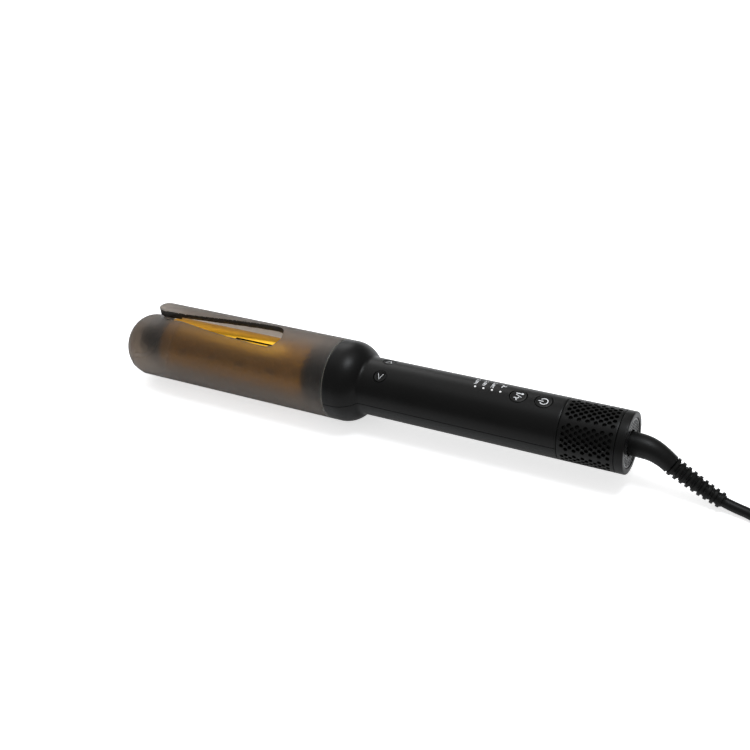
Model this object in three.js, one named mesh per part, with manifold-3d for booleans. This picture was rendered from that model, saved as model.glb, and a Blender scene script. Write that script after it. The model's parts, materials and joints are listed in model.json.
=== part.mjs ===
// Automatic hair curler: a heated barrel turns inside a slotted guard cover, driven by a gear motor
// in the handle, with a cooling fan behind a perforated sleeve at the cord end.
// Millimetres, +Z up. The tool lies on its guard cover, its axis along X, the cord end towards +X.
// "x" along the tool is counted from the seam between the handle shells and the vent sleeve.
// Angles round the tool are degrees from +Y towards +Z, so 90 is the control side.

import * as THREE from 'three';
import { mergeVertices } from 'three/addons/utils/BufferGeometryUtils.js';
import Module from 'manifold-3d';

const wasm = await Module();
wasm.setup();

// ---------------------------------------------------------------- driving dimensions

const GAP = 0.3; // between neighbours that touch on the real tool
const ROUND = 32; // segments of a large circle
const INNER_ROUND = 20; // of a hidden one
const SMALL_ROUND = 12; // of a small one

const TIP_X = -325.8;
const SEAM_X = -155.3; // guard cover meets the head of the handle
const NECK_X = -133.9; // head shoulder meets the handle
const SLEEVE_END_X = 34.35;
const END_X = 40;

const COVER_R = 26.74;
const COVER_WALL = 2.3;
const HANDLE_R = 19;
const WALL = 2;
const PARTING_Z = 0.8; // parting plane of the two handle shells

const BARREL_R = 18.1;
const BARREL_WALL = 1.5;
const BARREL_START_X = -291;
const BARREL_END_X = -176;

const SHAFT_R = 8;
const BEARING_R = 12;

const GEAR_MODULE = 0.7;
const RING_TEETH = 40;
const PINION_TEETH = 16;
const PINION_DROP = ((RING_TEETH - PINION_TEETH) * GEAR_MODULE) / 2; // pinion axis below the tool axis

const BUTTON_TRAVEL = 0.7;
const POWER_X = -13.2;
const TEMPERATURE_X = -29.3;
const DIRECTION_X = -120.2;
const DIRECTION_TILT = 22.5; // direction buttons sit either side of the control line
const LIGHT_X = [-57.6, -52.1, -46.5, -41];

const SCREW_X = [-68, -3.9];
const BOARD_Z = 8;

const CORD_R = 3.15;
const FLOOR_Z = -COVER_R;
const MIDDLE_X = (TIP_X + END_X) / 2;

// ---------------------------------------------------------------- materials

const finish = (color, roughness, metalness = 0) =>
  new THREE.MeshStandardMaterial({ color, roughness, metalness });

const BLACK = finish(0x1c1c1e, 0.45);
const SMOKE = finish(0x6b5a4a, 0.35);
const GOLD = finish(0xd99a1e, 0.3, 0.9);
const DARK = finish(0x141415, 0.5);
const STEEL = finish(0xb8bcc0, 0.3, 0.9);
const ALUMINIUM = finish(0xc4c6c8, 0.4, 0.8);
const COPPER = finish(0xb87333, 0.3, 0.9);
const GEAR = finish(0xe6e2d5, 0.5);
const BOARD = finish(0x1f6b3a, 0.6);
const CERAMIC = finish(0xe8e4da, 0.6);
const RUBBER = finish(0x161617, 0.7);
const LIGHT = finish(0xf4f4f0, 0.4);
const BRASS = finish(0xc9a24a, 0.3, 0.9);

// ---------------------------------------------------------------- shape helpers

const radians = THREE.MathUtils.degToRad;

function signedVolume(geometry) {
  const p = geometry.getAttribute('position');
  const a = new THREE.Vector3();
  const b = new THREE.Vector3();
  const c = new THREE.Vector3();
  let sum = 0;
  for (let i = 0; i < geometry.index.count; i += 3) {
    a.fromBufferAttribute(p, geometry.index.getX(i));
    b.fromBufferAttribute(p, geometry.index.getX(i + 1));
    c.fromBufferAttribute(p, geometry.index.getX(i + 2));
    sum += a.dot(b.cross(c)) / 6;
  }
  return sum;
}

// A closed geometry as a solid, with its faces turned outwards.
function solid(geometry) {
  const bare = geometry.clone();
  bare.deleteAttribute('normal');
  bare.deleteAttribute('uv');
  const merged = mergeVertices(bare, 1e-4);
  const triVerts = new Uint32Array(merged.index.array);
  if (signedVolume(merged) < 0) triVerts.reverse();
  const vertProperties = merged.getAttribute('position').array;
  return new wasm.Manifold(new wasm.Mesh({ numProp: 3, vertProperties, triVerts }));
}

const join = (...solids) => solids.reduce((a, b) => a.add(b));
const cut = (from, ...tools) => tools.reduce((a, b) => a.subtract(b), from);

function geometryOf(shape) {
  const mesh = shape.getMesh();
  const geometry = new THREE.BufferGeometry();
  geometry.setAttribute('position', new THREE.BufferAttribute(mesh.vertProperties.slice(), 3));
  geometry.setIndex(new THREE.BufferAttribute(mesh.triVerts.slice(), 1));
  geometry.computeVertexNormals();
  return geometry;
}

// Turns a closed profile of [x, radius] points round the tool axis.
function revolve(profile, segments = INNER_ROUND) {
  const points = profile.map(([x, r]) => new THREE.Vector2(r, x));
  return solid(new THREE.LatheGeometry(points, segments).rotateZ(-Math.PI / 2));
}

const disc = (x0, x1, r, segments) => revolve([[x0, 0], [x0, r], [x1, r], [x1, 0]], segments);
const ring = (x0, x1, inner, outer, segments) =>
  revolve([[x0, inner], [x0, outer], [x1, outer], [x1, inner], [x0, inner]], segments);

function box(x0, x1, y0, y1, z0, z1) {
  const made = new THREE.BoxGeometry(x1 - x0, y1 - y0, z1 - z0);
  return solid(made.translate((x0 + x1) / 2, (y0 + y1) / 2, (z0 + z1) / 2));
}

// An outline in the Y-Z plane, drawn along X from x0 to x1.
function prism(shape, x0, x1) {
  const upright = new THREE.Matrix4().makeBasis(
    new THREE.Vector3(0, 1, 0),
    new THREE.Vector3(0, 0, 1),
    new THREE.Vector3(1, 0, 0),
  );
  const made = new THREE.ExtrudeGeometry(shape, { depth: x1 - x0, bevelEnabled: false, curveSegments: 10 });
  return solid(made.applyMatrix4(upright).translate(x0, 0, 0));
}

// A round post on the control side: profile of [height above the tool axis, radius], turned by tilt
// degrees round the tool axis away from straight up.
function post(x, profile, tilt = 0, segments = SMALL_ROUND) {
  const points = profile.map(([height, r]) => new THREE.Vector2(r, height));
  const made = new THREE.LatheGeometry(points, segments).rotateX(Math.PI / 2);
  return solid(made.rotateX(radians(tilt)).translate(x, 0, 0));
}

const peg = (x, z0, z1, r, tilt) => post(x, [[z0, 0], [z0, r], [z1, r], [z1, 0]], tilt);

// Joins rings of equally many points into a closed body with flat ends.
function loft(rings) {
  const count = rings[0].length;
  const middle = (points) => points.reduce((a, b) => a.clone().add(b)).divideScalar(count);
  const points = [...rings.flat(), middle(rings[0]), middle(rings.at(-1))];
  const first = points.length - 2;
  const last = points.length - 1;
  const end = (rings.length - 1) * count;
  const faces = [];
  for (let k = 0; k < count; k++) {
    const next = (k + 1) % count;
    for (let i = 0; i < end; i += count) {
      faces.push(i + k, i + next, i + count + k);
      faces.push(i + next, i + count + next, i + count + k);
    }
    faces.push(first, next, k);
    faces.push(last, end + k, end + next);
  }
  const geometry = new THREE.BufferGeometry().setFromPoints(points);
  geometry.setIndex(faces);
  return solid(geometry);
}

// A curved slab round the tool axis between two radii. Each station is [x, from angle, to angle].
function slab(stations, inner, outer, cells = 10) {
  const points = [];
  for (const [x, from, to] of stations) {
    for (let k = 0; k <= cells; k++) {
      const angle = radians(from + ((to - from) * k) / cells);
      for (const r of [inner, outer]) {
        points.push(new THREE.Vector3(x, r * Math.cos(angle), r * Math.sin(angle)));
      }
    }
  }
  const at = (station, k, layer) => (station * (cells + 1) + k) * 2 + layer;
  const faces = [];
  const quad = (a, b, c, d) => faces.push(a, b, c, a, c, d);
  const final = stations.length - 1;
  for (let i = 0; i < final; i++) {
    for (let k = 0; k < cells; k++) {
      quad(at(i, k, 1), at(i, k + 1, 1), at(i + 1, k + 1, 1), at(i + 1, k, 1));
      quad(at(i, k, 0), at(i + 1, k, 0), at(i + 1, k + 1, 0), at(i, k + 1, 0));
    }
    quad(at(i, 0, 0), at(i, 0, 1), at(i + 1, 0, 1), at(i + 1, 0, 0));
    quad(at(i, cells, 0), at(i + 1, cells, 0), at(i + 1, cells, 1), at(i, cells, 1));
  }
  for (let k = 0; k < cells; k++) {
    quad(at(0, k, 0), at(0, k + 1, 0), at(0, k + 1, 1), at(0, k, 1));
    quad(at(final, k, 0), at(final, k, 1), at(final, k + 1, 1), at(final, k + 1, 0));
  }
  const geometry = new THREE.BufferGeometry().setFromPoints(points);
  geometry.setIndex(faces);
  return solid(geometry);
}

// Height of a smooth curve through [x, value] points, at any x between them.
function follow(points, x) {
  let i = 0;
  while (i < points.length - 2 && x > points[i + 1][0]) i++;
  const slope = (j) => {
    const a = points[Math.max(j - 1, 0)];
    const b = points[Math.min(j + 1, points.length - 1)];
    return (b[1] - a[1]) / (b[0] - a[0]);
  };
  const [x0, y0] = points[i];
  const [x1, y1] = points[i + 1];
  const t = (x - x0) / (x1 - x0);
  const bend = t * t * (3 - 2 * t);
  const rise = (x1 - x0) * (slope(i) * t * (1 - t) ** 2 - slope(i + 1) * t * t * (1 - t));
  return y0 + (y1 - y0) * bend + rise;
}

// Equal steps from one number to another, both ends included.
const steps = (from, to, count) =>
  Array.from({ length: count + 1 }, (_, i) => from + ((to - from) * i) / count);

// ---------------------------------------------------------------- guard cover

const TUCK_X = -272; // towards the tip from here the cover draws in under its tongue
const DOME_X = -307.4;
const DOME_R = 22;
const DOME_POWER = 2.3; // roundness of the domed tip
const TUCK_ANGLE = 224; // the side that stays straight
const WALL_BEHIND_SLOT = 2; // far edge of the slot, in degrees round the tool

const TONGUE_EDGE = [[-294, 87], [-289, 86.4], [-274, 84.6], [-256, 79.8], [-221, 68.3], [-208, 65.2],
  [-203, 67], [-198.5, 76], [-195.5, 92]];
const SLOT_EDGE = [[-303, 45], [-301, 80], [-298, 92], [-294, 96], [-268, 101.8], [-247.5, 107],
  [-224, 110], [-205, 111.8], [-200, 109.5], [-197, 103], [-195.5, 94]];

// Centre offset and radius of the cover's outside at x, less a wall where the inside is wanted.
function coverSection(x, wall) {
  const t = THREE.MathUtils.smoothstep(TUCK_X - x, 0, TUCK_X - DOME_X);
  const radius = THREE.MathUtils.lerp(COVER_R, DOME_R, t);
  const offset = COVER_R - radius;
  const length = DOME_X - TIP_X - wall;
  const along = Math.min(Math.max((DOME_X - x) / length, 0), 1);
  const round = (1 - along ** DOME_POWER) ** (1 / DOME_POWER);
  return { offset, radius: (radius - wall) * round };
}

function coverBody(start, wall) {
  const tip = TIP_X + wall;
  const length = DOME_X - tip;
  const stations = [start, ...steps(TUCK_X, DOME_X, 6)];
  for (const along of [0.35, 0.6, 0.78, 0.9, 0.97, 0.998]) stations.push(DOME_X - length * along);
  const centre = radians(TUCK_ANGLE);
  const rings = stations.map((x) => {
    const { offset, radius } = coverSection(x, wall);
    return Array.from({ length: ROUND }, (_, k) => {
      const angle = (2 * Math.PI * k) / ROUND;
      const y = offset * Math.cos(centre) + radius * Math.cos(angle);
      const z = offset * Math.sin(centre) + radius * Math.sin(angle);
      return new THREE.Vector3(x, y, z);
    });
  });
  return loft(rings);
}

// The slot runs beside the tongue, then opens under it to the front.
function coverSlot(inner, outer) {
  const behind = steps(-274, -195.7, 13);
  const front = steps(-302.6, -273.5, 8);
  return join(
    slab(behind.map((x) => [x, follow(TONGUE_EDGE, x), follow(SLOT_EDGE, x)]), inner, outer),
    slab(front.map((x) => [x, WALL_BEHIND_SLOT, follow(SLOT_EDGE, x)]), inner, outer),
  );
}

const TONGUE_TIP_X = -302;
const TONGUE_CORNER = 8;
const RIB_HEIGHT = 1.3;
const RIB_TURN = 3.5; // its width, in degrees round the tool

function coverTongue() {
  const stations = steps(TONGUE_TIP_X, -273, 12).map((x) => {
    const into = Math.min((x - TONGUE_TIP_X) / TONGUE_CORNER, 1);
    const round = Math.sqrt(1 - (1 - into) ** 2);
    const near = x < -294 ? THREE.MathUtils.lerp(73, 87, round) : follow(TONGUE_EDGE, x);
    return [x, THREE.MathUtils.lerp(13, 0.5, round), near];
  });
  return slab(stations, COVER_R - COVER_WALL, COVER_R, 11);
}

// A rib along the tongue's free edge, on the inside.
function tongueRib() {
  const stations = steps(-294, -206, 10).map((x) => {
    const edge = follow(TONGUE_EDGE, x);
    return [x, edge - RIB_TURN, edge];
  });
  return slab(stations, COVER_R - COVER_WALL - RIB_HEIGHT, COVER_R - 1, 2);
}

function guardCover() {
  const shell = cut(coverBody(SEAM_X, 0), coverBody(SEAM_X + 1, COVER_WALL));
  return join(cut(shell, coverSlot(12, 40)), coverTongue(), tongueRib());
}

// ---------------------------------------------------------------- barrel and what turns with it

const BARREL_SLOT_ANGLE = 152;
const BARREL_SLOT_X = [-270.9, -247.5, -223.6, -199.9];
const CAP_R = 17;
const CAP_TAPER = 15.5; // length of its cone
const NOSE_R = 14; // where the cone meets the rounded nose
const NOSE_LENGTH = 14.5;

function curlBarrel() {
  const tube = ring(BARREL_START_X, BARREL_END_X, BARREL_R - BARREL_WALL, BARREL_R, ROUND);
  const from = BARREL_SLOT_ANGLE - 3;
  const to = BARREL_SLOT_ANGLE + 3;
  const slots = BARREL_SLOT_X.map((x) => slab([[x - 3, from, to], [x + 3, from, to]], 15, 20, 1));
  return cut(tube, ...slots);
}

function barrelTipCap() {
  const start = BARREL_START_X - GAP;
  const nose = steps(0, 90, 5).map((turn) => [
    start - CAP_TAPER - NOSE_LENGTH * Math.cos(radians(turn)),
    NOSE_R * Math.sin(radians(turn)),
  ]);
  const spigot = BARREL_R - BARREL_WALL - GAP;
  return revolve([...nose, [start, CAP_R], [start, spigot], [start + 4, spigot], [start + 4, 0]]);
}

const HUB_TAIL_X = -138.3;

function barrelHub() {
  const spigot = BARREL_R - BARREL_WALL - GAP;
  const face = BARREL_END_X + GAP;
  return revolve([
    [face - 6, 3], [face - 6, spigot], [face, spigot], [face, BARREL_R], [face + 3.4, BARREL_R],
    [face + 3.4, SHAFT_R], [HUB_TAIL_X, SHAFT_R], [HUB_TAIL_X, 3], [face - 6, 3],
  ]);
}

const SHOE_R = BARREL_R - BARREL_WALL - GAP;
const SHOE_X = [-285, -190];

// Half of the round heat spreader inside the barrel, hollow, with a flat that faces the heater plate.
function heatShoe(side) {
  const flat = 1.2;
  const shape = new THREE.Shape();
  const from = Math.asin(flat / SHOE_R);
  shape.absarc(0, 0, SHOE_R, from, Math.PI - from, false);
  shape.closePath();
  const inner = SHOE_R - 2.2;
  const hollowFlat = flat + 2;
  const hollowFrom = Math.asin(hollowFlat / inner);
  const hollow = new THREE.Path();
  hollow.absarc(0, 0, inner, hollowFrom, Math.PI - hollowFrom, false);
  hollow.closePath();
  shape.holes.push(hollow);
  const made = prism(shape, ...SHOE_X);
  return side > 0 ? made : made.rotate([180, 0, 0]);
}

const heaterPlate = () => box(SHOE_X[0] + 6, SHOE_X[1] - 6, -10, 10, -0.9, 0.9);
const thermalFuse = () => prism(circleShape(6, 7, 1.8), -216, -204);
const temperatureSensor = () => prism(circleShape(-6, 7, 1.4), -240, -233);

function circleShape(y, z, r) {
  const shape = new THREE.Shape();
  shape.absarc(y, z, r, 0, 2 * Math.PI, false);
  return shape;
}

const slipRing = (x) => ring(x, x + 1.8, SHAFT_R + 0.15, 10.6);

// ---------------------------------------------------------------- drive in the head

const FRAME_R = COVER_R - COVER_WALL - GAP;

function headFrame() {
  const tube = ring(-160, -146.8, BEARING_R + GAP, 14);
  const spigot = ring(-160, -149.5, FRAME_R - 1.8, FRAME_R);
  const plate = ring(-160, -158, SHAFT_R + 0.6, FRAME_R);
  return join(tube, spigot, plate);
}

// Ring round the barrel's root, with a groove so that hair can't wander behind the barrel.
const baseCollar = () =>
  revolve([
    [-171.6, BARREL_R - 6], [-171.6, 19.8], [-160.3, 19.8], [-160.3, SHAFT_R + 0.6],
    [-168, SHAFT_R + 0.6], [-168, BARREL_R - 6], [-171.6, BARREL_R - 6],
  ], ROUND);

const bearing = (x) => ring(x, x + 4.4, SHAFT_R + 0.1, BEARING_R);

// Outline of an involute gear. tip and root are the tooth's height and depth in modules.
function gearOutline(teeth, tip, root, backlash, turn, flankSteps) {
  const pressure = radians(20);
  const pitchR = (teeth * GEAR_MODULE) / 2;
  const baseR = pitchR * Math.cos(pressure);
  const involute = (angle) => Math.tan(angle) - angle;
  const rootR = pitchR - GEAR_MODULE * root;
  const flank = steps(Math.max(rootR, baseR), pitchR + GEAR_MODULE * tip, flankSteps);
  const half = (r) =>
    Math.PI / (2 * teeth) - backlash / pitchR + involute(pressure) - involute(Math.acos(baseR / r));
  const points = [];
  for (let tooth = 0; tooth < teeth; tooth++) {
    const centre = turn + (2 * Math.PI * tooth) / teeth;
    const place = (r, angle) => points.push([r * Math.cos(centre + angle), r * Math.sin(centre + angle)]);
    place(rootR, -half(flank[0]));
    if (rootR < baseR) place(flank[0], -half(flank[0]));
    for (const r of flank.slice(1)) place(r, -half(r));
    for (const r of flank.slice(1).reverse()) place(r, half(r));
    if (rootR < baseR) place(flank[0], half(flank[0]));
    place(rootR, half(flank[0]));
  }
  return points.map(([y, z]) => new THREE.Vector2(y, z));
}

const MESH_SIDE = -Math.PI / 2; // the pinion meshes at the bottom of the ring gear

function ringGear() {
  const shape = circleShape(0, 0, 17);
  shape.holes.push(new THREE.Path(gearOutline(RING_TEETH, 1.25, 0.75, -0.09, MESH_SIDE, 1)));
  const web = ring(-140.3, -138, SHAFT_R + 0.15, 17);
  return join(prism(shape, -138.1, -134.6), web);
}

function motorPinion() {
  const gear = prism(new THREE.Shape(gearOutline(PINION_TEETH, 0.85, 1.2, 0.09, MESH_SIDE, 2)), -137.6, -134.4);
  return join(gear, disc(-134.5, -130.6, 1.4, SMALL_ROUND)).translate([0, 0, -PINION_DROP]);
}

function motorBracket() {
  const plate = disc(-133.6, -131.8, HANDLE_R - WALL - GAP);
  const shaftHole = disc(-140, -120, 2, SMALL_ROUND).translate([0, 0, -PINION_DROP]);
  const wireHole = disc(-140, -120, 4, SMALL_ROUND).translate([0, 0, 9]);
  return cut(plate, shaftHole, wireHole);
}

function motorGearbox() {
  const bore = disc(-140, -129.5, 1.7, SMALL_ROUND).translate([0, 0, -PINION_DROP]);
  return cut(disc(-131.5, -112.2, 8, INNER_ROUND).translate([0, 0, -PINION_DROP]), bore);
}

function motorCan() {
  const can = disc(-111.9, -86, 7.8, INNER_ROUND);
  const boss = disc(-86.1, -84, 3, SMALL_ROUND);
  return join(can, boss).translate([0, 0, -PINION_DROP]);
}

// Carbon brush carrier that presses on the two slip rings from above.
function brushBlock() {
  const legs = [-145.8, -142.6].map((x) => box(x, x + 1.8, -2, 2, 10.9, 15.2));
  return join(box(-146.4, -140.6, -5, 5, 15, 19.5), ...legs);
}

// ---------------------------------------------------------------- handle shells

const SHOULDER_R = 18;
const SHOULDER_X = -148.7;

// Quarter-round shoulder of the head, moved in by the wall on the inside.
function shoulder(wall) {
  const centreR = COVER_R - SHOULDER_R;
  const lowest = Math.asin((HANDLE_R - centreR - 0.6) / (SHOULDER_R)) / radians(1);
  return steps(90, lowest, 5).map((turn) => [
    SHOULDER_X + (SHOULDER_R - wall) * Math.cos(radians(turn)),
    centreR + (SHOULDER_R - wall) * Math.sin(radians(turn)),
  ]);
}

const BUTTON_R = 5.25;
const DIRECTION_BUTTON_R = 4;

function handleTube() {
  const inner = HANDLE_R - WALL;
  const outside = [[SEAM_X + GAP, COVER_R], ...shoulder(0), [NECK_X + 1.6, HANDLE_R], [-GAP, HANDLE_R]];
  const inside = [[-GAP, inner], [NECK_X, inner], ...shoulder(2.3).reverse(), [SEAM_X + GAP, COVER_R - 2.3]];
  return revolve([...outside, ...inside, [SEAM_X + GAP, COVER_R]], ROUND);
}

const screwBoss = (x, from, to) => peg(x, from, to, 2.8);

function handleUpperShell() {
  const half = cut(handleTube(), box(-200, 60, -40, 40, -40, PARTING_Z + GAP / 2));
  const bosses = SCREW_X.map((x) => screwBoss(x, -0.9, HANDLE_R - WALL + 0.6));
  const pilots = SCREW_X.map((x) => peg(x, -3, 8, 1.3));
  const buttons = [POWER_X, TEMPERATURE_X].map((x) => peg(x, 10, 25, BUTTON_R + 0.2));
  const direction = [1, -1].map((side) =>
    peg(DIRECTION_X, 12, 25, DIRECTION_BUTTON_R + 0.2, side * DIRECTION_TILT),
  );
  const lights = LIGHT_X.map((x) => peg(x, 12, 25, 0.95));
  return cut(join(half, ...bosses), ...pilots, ...buttons, ...direction, ...lights);
}

function handleLowerShell() {
  const half = cut(handleTube(), box(-200, 60, -40, 40, PARTING_Z - GAP / 2, 40));
  const bosses = SCREW_X.map((x) => screwBoss(x, -HANDLE_R + WALL - 0.6, -1.3));
  const holes = SCREW_X.map((x) => post(x, [[-25, 0], [-25, 2.3], [-8, 2.3], [-8, 1.4], [0, 1.4], [0, 0]]));
  return cut(join(half, ...bosses), ...holes);
}

// ---------------------------------------------------------------- controls and electronics

const screwHoles = () => SCREW_X.map((x) => peg(x, -12, 12, 3.1));

function controlBoard() {
  const board = box(-126, -7.2, -12.5, 12.5, BOARD_Z, BOARD_Z + 1.6);
  const chip = box(-92, -82, -5, 5, BOARD_Z + 1.5, BOARD_Z + 3);
  const connector = box(-106, -98, -9, -3, BOARD_Z + 1.5, BOARD_Z + 5);
  return cut(join(board, chip, connector), ...screwHoles());
}

function powerBoard() {
  const board = box(-81, -7.2, -14, 14, -7, -5.4);
  const transformer = box(-60, -46, -6, 6, -12.5, -6.9);
  const relay = box(-40, -28, -6, 6, -12, -6.9);
  const heatSink = box(-80, -74, -8, 8, -11, -6.9);
  return cut(join(board, transformer, relay, heatSink), ...screwHoles());
}

function tactSwitch(x, y) {
  const base = BOARD_Z + 1.6 + GAP;
  const body = box(x - 3, x + 3, -3, 3, base, base + 1.1);
  return join(body, peg(x, base + 1, base + 1.5, 1.2)).translate([0, y, 0]);
}

// Flat round button with a hidden flange that stops it against the shell's inner wall.
function roundButton(x, r, top, flange, tip, tilt = 0) {
  return post(x, [
    [tip, 0], [tip, 1.5], [flange - 1, 1.5], [flange - 1, r + 0.9], [flange, r + 0.9], [flange, r],
    [top - 0.4, r], [top, r - 0.5], [top - 0.25, 0],
  ], tilt, 16);
}

function lightGuide() {
  const bar = box(LIGHT_X[0] - 1.6, LIGHT_X[3] + 1.6, -1.6, 1.6, 12, 14);
  return join(bar, ...LIGHT_X.map((x) => peg(x, 13.9, HANDLE_R + 0.1, 0.65)));
}

// ---------------------------------------------------------------- vented end

const VENT_FIELDS = 6;
const VENT_SLITS = 5;
const SLIT_PITCH = 11.4; // degrees
const SLEEVE_WALL = 1.6;

// Each lengthwise slit stands for a row of small round vents.
function ventSleeve() {
  const slits = [];
  for (let field = 0; field < VENT_FIELDS; field++) {
    for (let k = 0; k < VENT_SLITS; k++) {
      const angle = 90 + 60 * field + SLIT_PITCH * (k - (VENT_SLITS - 1) / 2);
      slits.push([angle - 2, angle + 2]);
    }
  }
  const openings = slits.map(([from, to]) => slab([[4.5, from, to], [32, from, to]], 15, 22, 1));
  return cut(ring(0, SLEEVE_END_X, HANDLE_R - SLEEVE_WALL, HANDLE_R, ROUND), ...openings);
}

const SCREEN_R = HANDLE_R - SLEEVE_WALL - GAP;
const dustScreen = () => ring(1, SLEEVE_END_X - 1, SCREEN_R - 0.5, SCREEN_R);

function fanFrame() {
  const shroud = ring(2, 14, 15, 15.9);
  const cup = ring(11.3, 16, 6.3, 7.4, INNER_ROUND);
  const spokes = [0, 120, 240].map((turn) => box(12, 14, -1, 1, 7, 15.4).rotate([turn, 0, 0]));
  return join(shroud, cup, ...spokes);
}

function fanRotor() {
  const hub = disc(3.6, 10.4, 4.4, INNER_ROUND);
  const blade = box(-0.45, 0.45, -3.6, 3.6, 4, 14.2).rotate([0, 0, 48]).translate([7, 0, 0]);
  const blades = steps(0, 300, 5).map((turn) => blade.rotate([turn, 0, 0]));
  return join(hub, ...blades);
}

const fanMotor = () => join(disc(11.6, 24, 6, INNER_ROUND), disc(23.9, 26, 2, SMALL_ROUND));

const END_FACE_R = 18.1;
const GRILLE_R = 15.4;
const BOOT_R = 7.2;

function endCap() {
  const face = SLEEVE_END_X + GAP;
  return revolve([
    [face - 3, GRILLE_R], [face - 3, SCREEN_R - 0.8], [face - 0.3, SCREEN_R - 0.8], [face - 0.3, 17],
    [face, HANDLE_R], [END_X - 0.9, HANDLE_R], [END_X - 0.25, HANDLE_R - 0.3], [END_X, END_FACE_R],
    [END_X, GRILLE_R], [face - 3, GRILLE_R],
  ], ROUND);
}

// Round air grille with parallel slats and a collar for the cord boot.
function endGrille() {
  const plate = disc(END_X - 3.2, END_X - 1.4, GRILLE_R - GAP);
  const openings = steps(-12, 12, 6).map((z) => box(END_X - 6, END_X, -20, 20, z - 0.9, z + 0.9));
  const slats = cut(plate, ...openings);
  const rim = ring(END_X - 3.2, END_X - 1.2, GRILLE_R - 1.6, GRILLE_R - GAP);
  const collar = ring(END_X - 3.2, END_X - 1.2, BOOT_R + GAP, BOOT_R + 1.8);
  const bore = disc(END_X - 6, END_X + 2, BOOT_R + GAP);
  return join(cut(join(slats, rim), bore), collar);
}

const cordClamp = () => cut(box(27.5, 32.5, -11, 11, -4, 4), disc(20, 40, CORD_R + GAP, SMALL_ROUND));

// ---------------------------------------------------------------- cord, boot, coil and plug

// The cord leaves the middle of the end face, drops to the surface the tool lies on, and runs to the coil.
const BOOT_ROUTE = [[34.2, 0, 0], [40, 0, 0], [50.9, -0.9, -0.3], [58, -1.9, -3], [65.7, -3.4, -8],
  [75, -4.9, -13], [84.7, -6.5, -17.8], [95.5, -8.6, -21.6]];
const BOOT_SMOOTH_END = 0.47; // share of the boot before its ribs start
const RIBBED_R = 5.8; // of the boot where its ribs start
const CORD_LAY_Z = FLOOR_Z + CORD_R + 0.05;
const COIL_RAISE = 1; // thickness of the tie under the turns
const COIL_X = 157.1;
const COIL_Y = 17.3;
const COIL_INNER_R = 26.4;
const COIL_OUTER_R = 44.4;
const COIL_HEIGHT = 25.2; // four layers of turns
const CORD_ROUTE = [[96, -8.7, -21.8], [103, -9.8, -23], [110.5, -11.3, CORD_LAY_Z], [118, -14.6, CORD_LAY_Z],
  [125, -19, CORD_LAY_Z], [COIL_X - 25.5, COIL_Y - 40, CORD_LAY_Z + 0.4]];
const PLUG_X = COIL_X + 57.5;
const PLUG_Y = COIL_Y - 16.6;
const PLUG_Z = FLOOR_Z + 7.6;
const LEAD_ROUTE = [[COIL_X + 22, COIL_Y - 42.9, FLOOR_Z + 16.6], [COIL_X + 31.5, COIL_Y - 42.9, FLOOR_Z + 13.6],
  [COIL_X + 41.45, COIL_Y - 40.9, FLOOR_Z + 11.2], [COIL_X + 49.9, COIL_Y - 35.3, FLOOR_Z + 9.4],
  [COIL_X + 55.5, COIL_Y - 26.85, FLOOR_Z + 8.2], [PLUG_X - 0.2, PLUG_Y - 5, PLUG_Z + 0.1],
  [PLUG_X, PLUG_Y - GAP, PLUG_Z]];

const curveOf = (route) => new THREE.CatmullRomCurve3(route.map((p) => new THREE.Vector3(...p)));

function cordTube(route, count) {
  const section = new THREE.Shape();
  for (let k = 0; k < 8; k++) {
    const angle = (Math.PI / 4) * k;
    const y = CORD_R * Math.cos(angle);
    const z = CORD_R * Math.sin(angle);
    if (k === 0) section.moveTo(y, z);
    else section.lineTo(y, z);
  }
  section.closePath();
  return solid(new THREE.ExtrudeGeometry(section, { extrudePath: curveOf(route), steps: count }));
}

// A round body along a route, its radius given at each share of the length.
function sweep(route, radiusAt, shares, sides = SMALL_ROUND) {
  const curve = curveOf(route);
  const up = new THREE.Vector3(0, 0, 1);
  const rings = shares.map((t) => {
    const centre = curve.getPointAt(t);
    const ahead = curve.getTangentAt(t);
    const across = new THREE.Vector3().crossVectors(up, ahead).normalize();
    const over = new THREE.Vector3().crossVectors(ahead, across);
    return Array.from({ length: sides }, (_, k) => {
      const angle = (2 * Math.PI * k) / sides;
      const r = radiusAt(t);
      return centre.clone()
        .addScaledVector(across, r * Math.cos(angle))
        .addScaledVector(over, r * Math.sin(angle));
    });
  });
  return loft(rings);
}

function cordBoot() {
  const radiusAt = (t) => {
    if (t > BOOT_SMOOTH_END) return THREE.MathUtils.mapLinear(t, BOOT_SMOOTH_END, 1, RIBBED_R, 4.4);
    return THREE.MathUtils.lerp(BOOT_R, RIBBED_R, THREE.MathUtils.smoothstep(t, 0.15, BOOT_SMOOTH_END));
  };
  const shares = [0, 0.15, 0.23, 0.31, 0.39, BOOT_SMOOTH_END, 0.6, 0.75, 0.9, 1];
  const flange = disc(33.6, END_X - 3.5, BOOT_R + 1.6, INNER_ROUND);
  return join(sweep(BOOT_ROUTE, radiusAt, shares), flange);
}

const cordCoil = () =>
  solid(new THREE.LatheGeometry(
    [[COIL_INNER_R, 0], [COIL_OUTER_R, 0], [COIL_OUTER_R, COIL_HEIGHT], [COIL_INNER_R, COIL_HEIGHT],
      [COIL_INNER_R, 0]].map(([r, z]) => new THREE.Vector2(r, z)), 32).rotateX(Math.PI / 2))
    .translate([COIL_X, COIL_Y, FLOOR_Z + COIL_RAISE]);

const TIE_TURN = 120; // degrees round the coil

function coilTie() {
  const top = COIL_RAISE + COIL_HEIGHT + 1.6;
  const outer = box(COIL_INNER_R - 2.4, COIL_OUTER_R + 1.4, -5, 5, 0, top);
  const inner = box(COIL_INNER_R - 1.5, COIL_OUTER_R + 0.5, -7, 7, COIL_RAISE - 0.3, top - 0.9);
  return cut(outer, inner).rotate([0, 0, TIE_TURN]).translate([COIL_X, COIL_Y, FLOOR_Z]);
}

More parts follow.
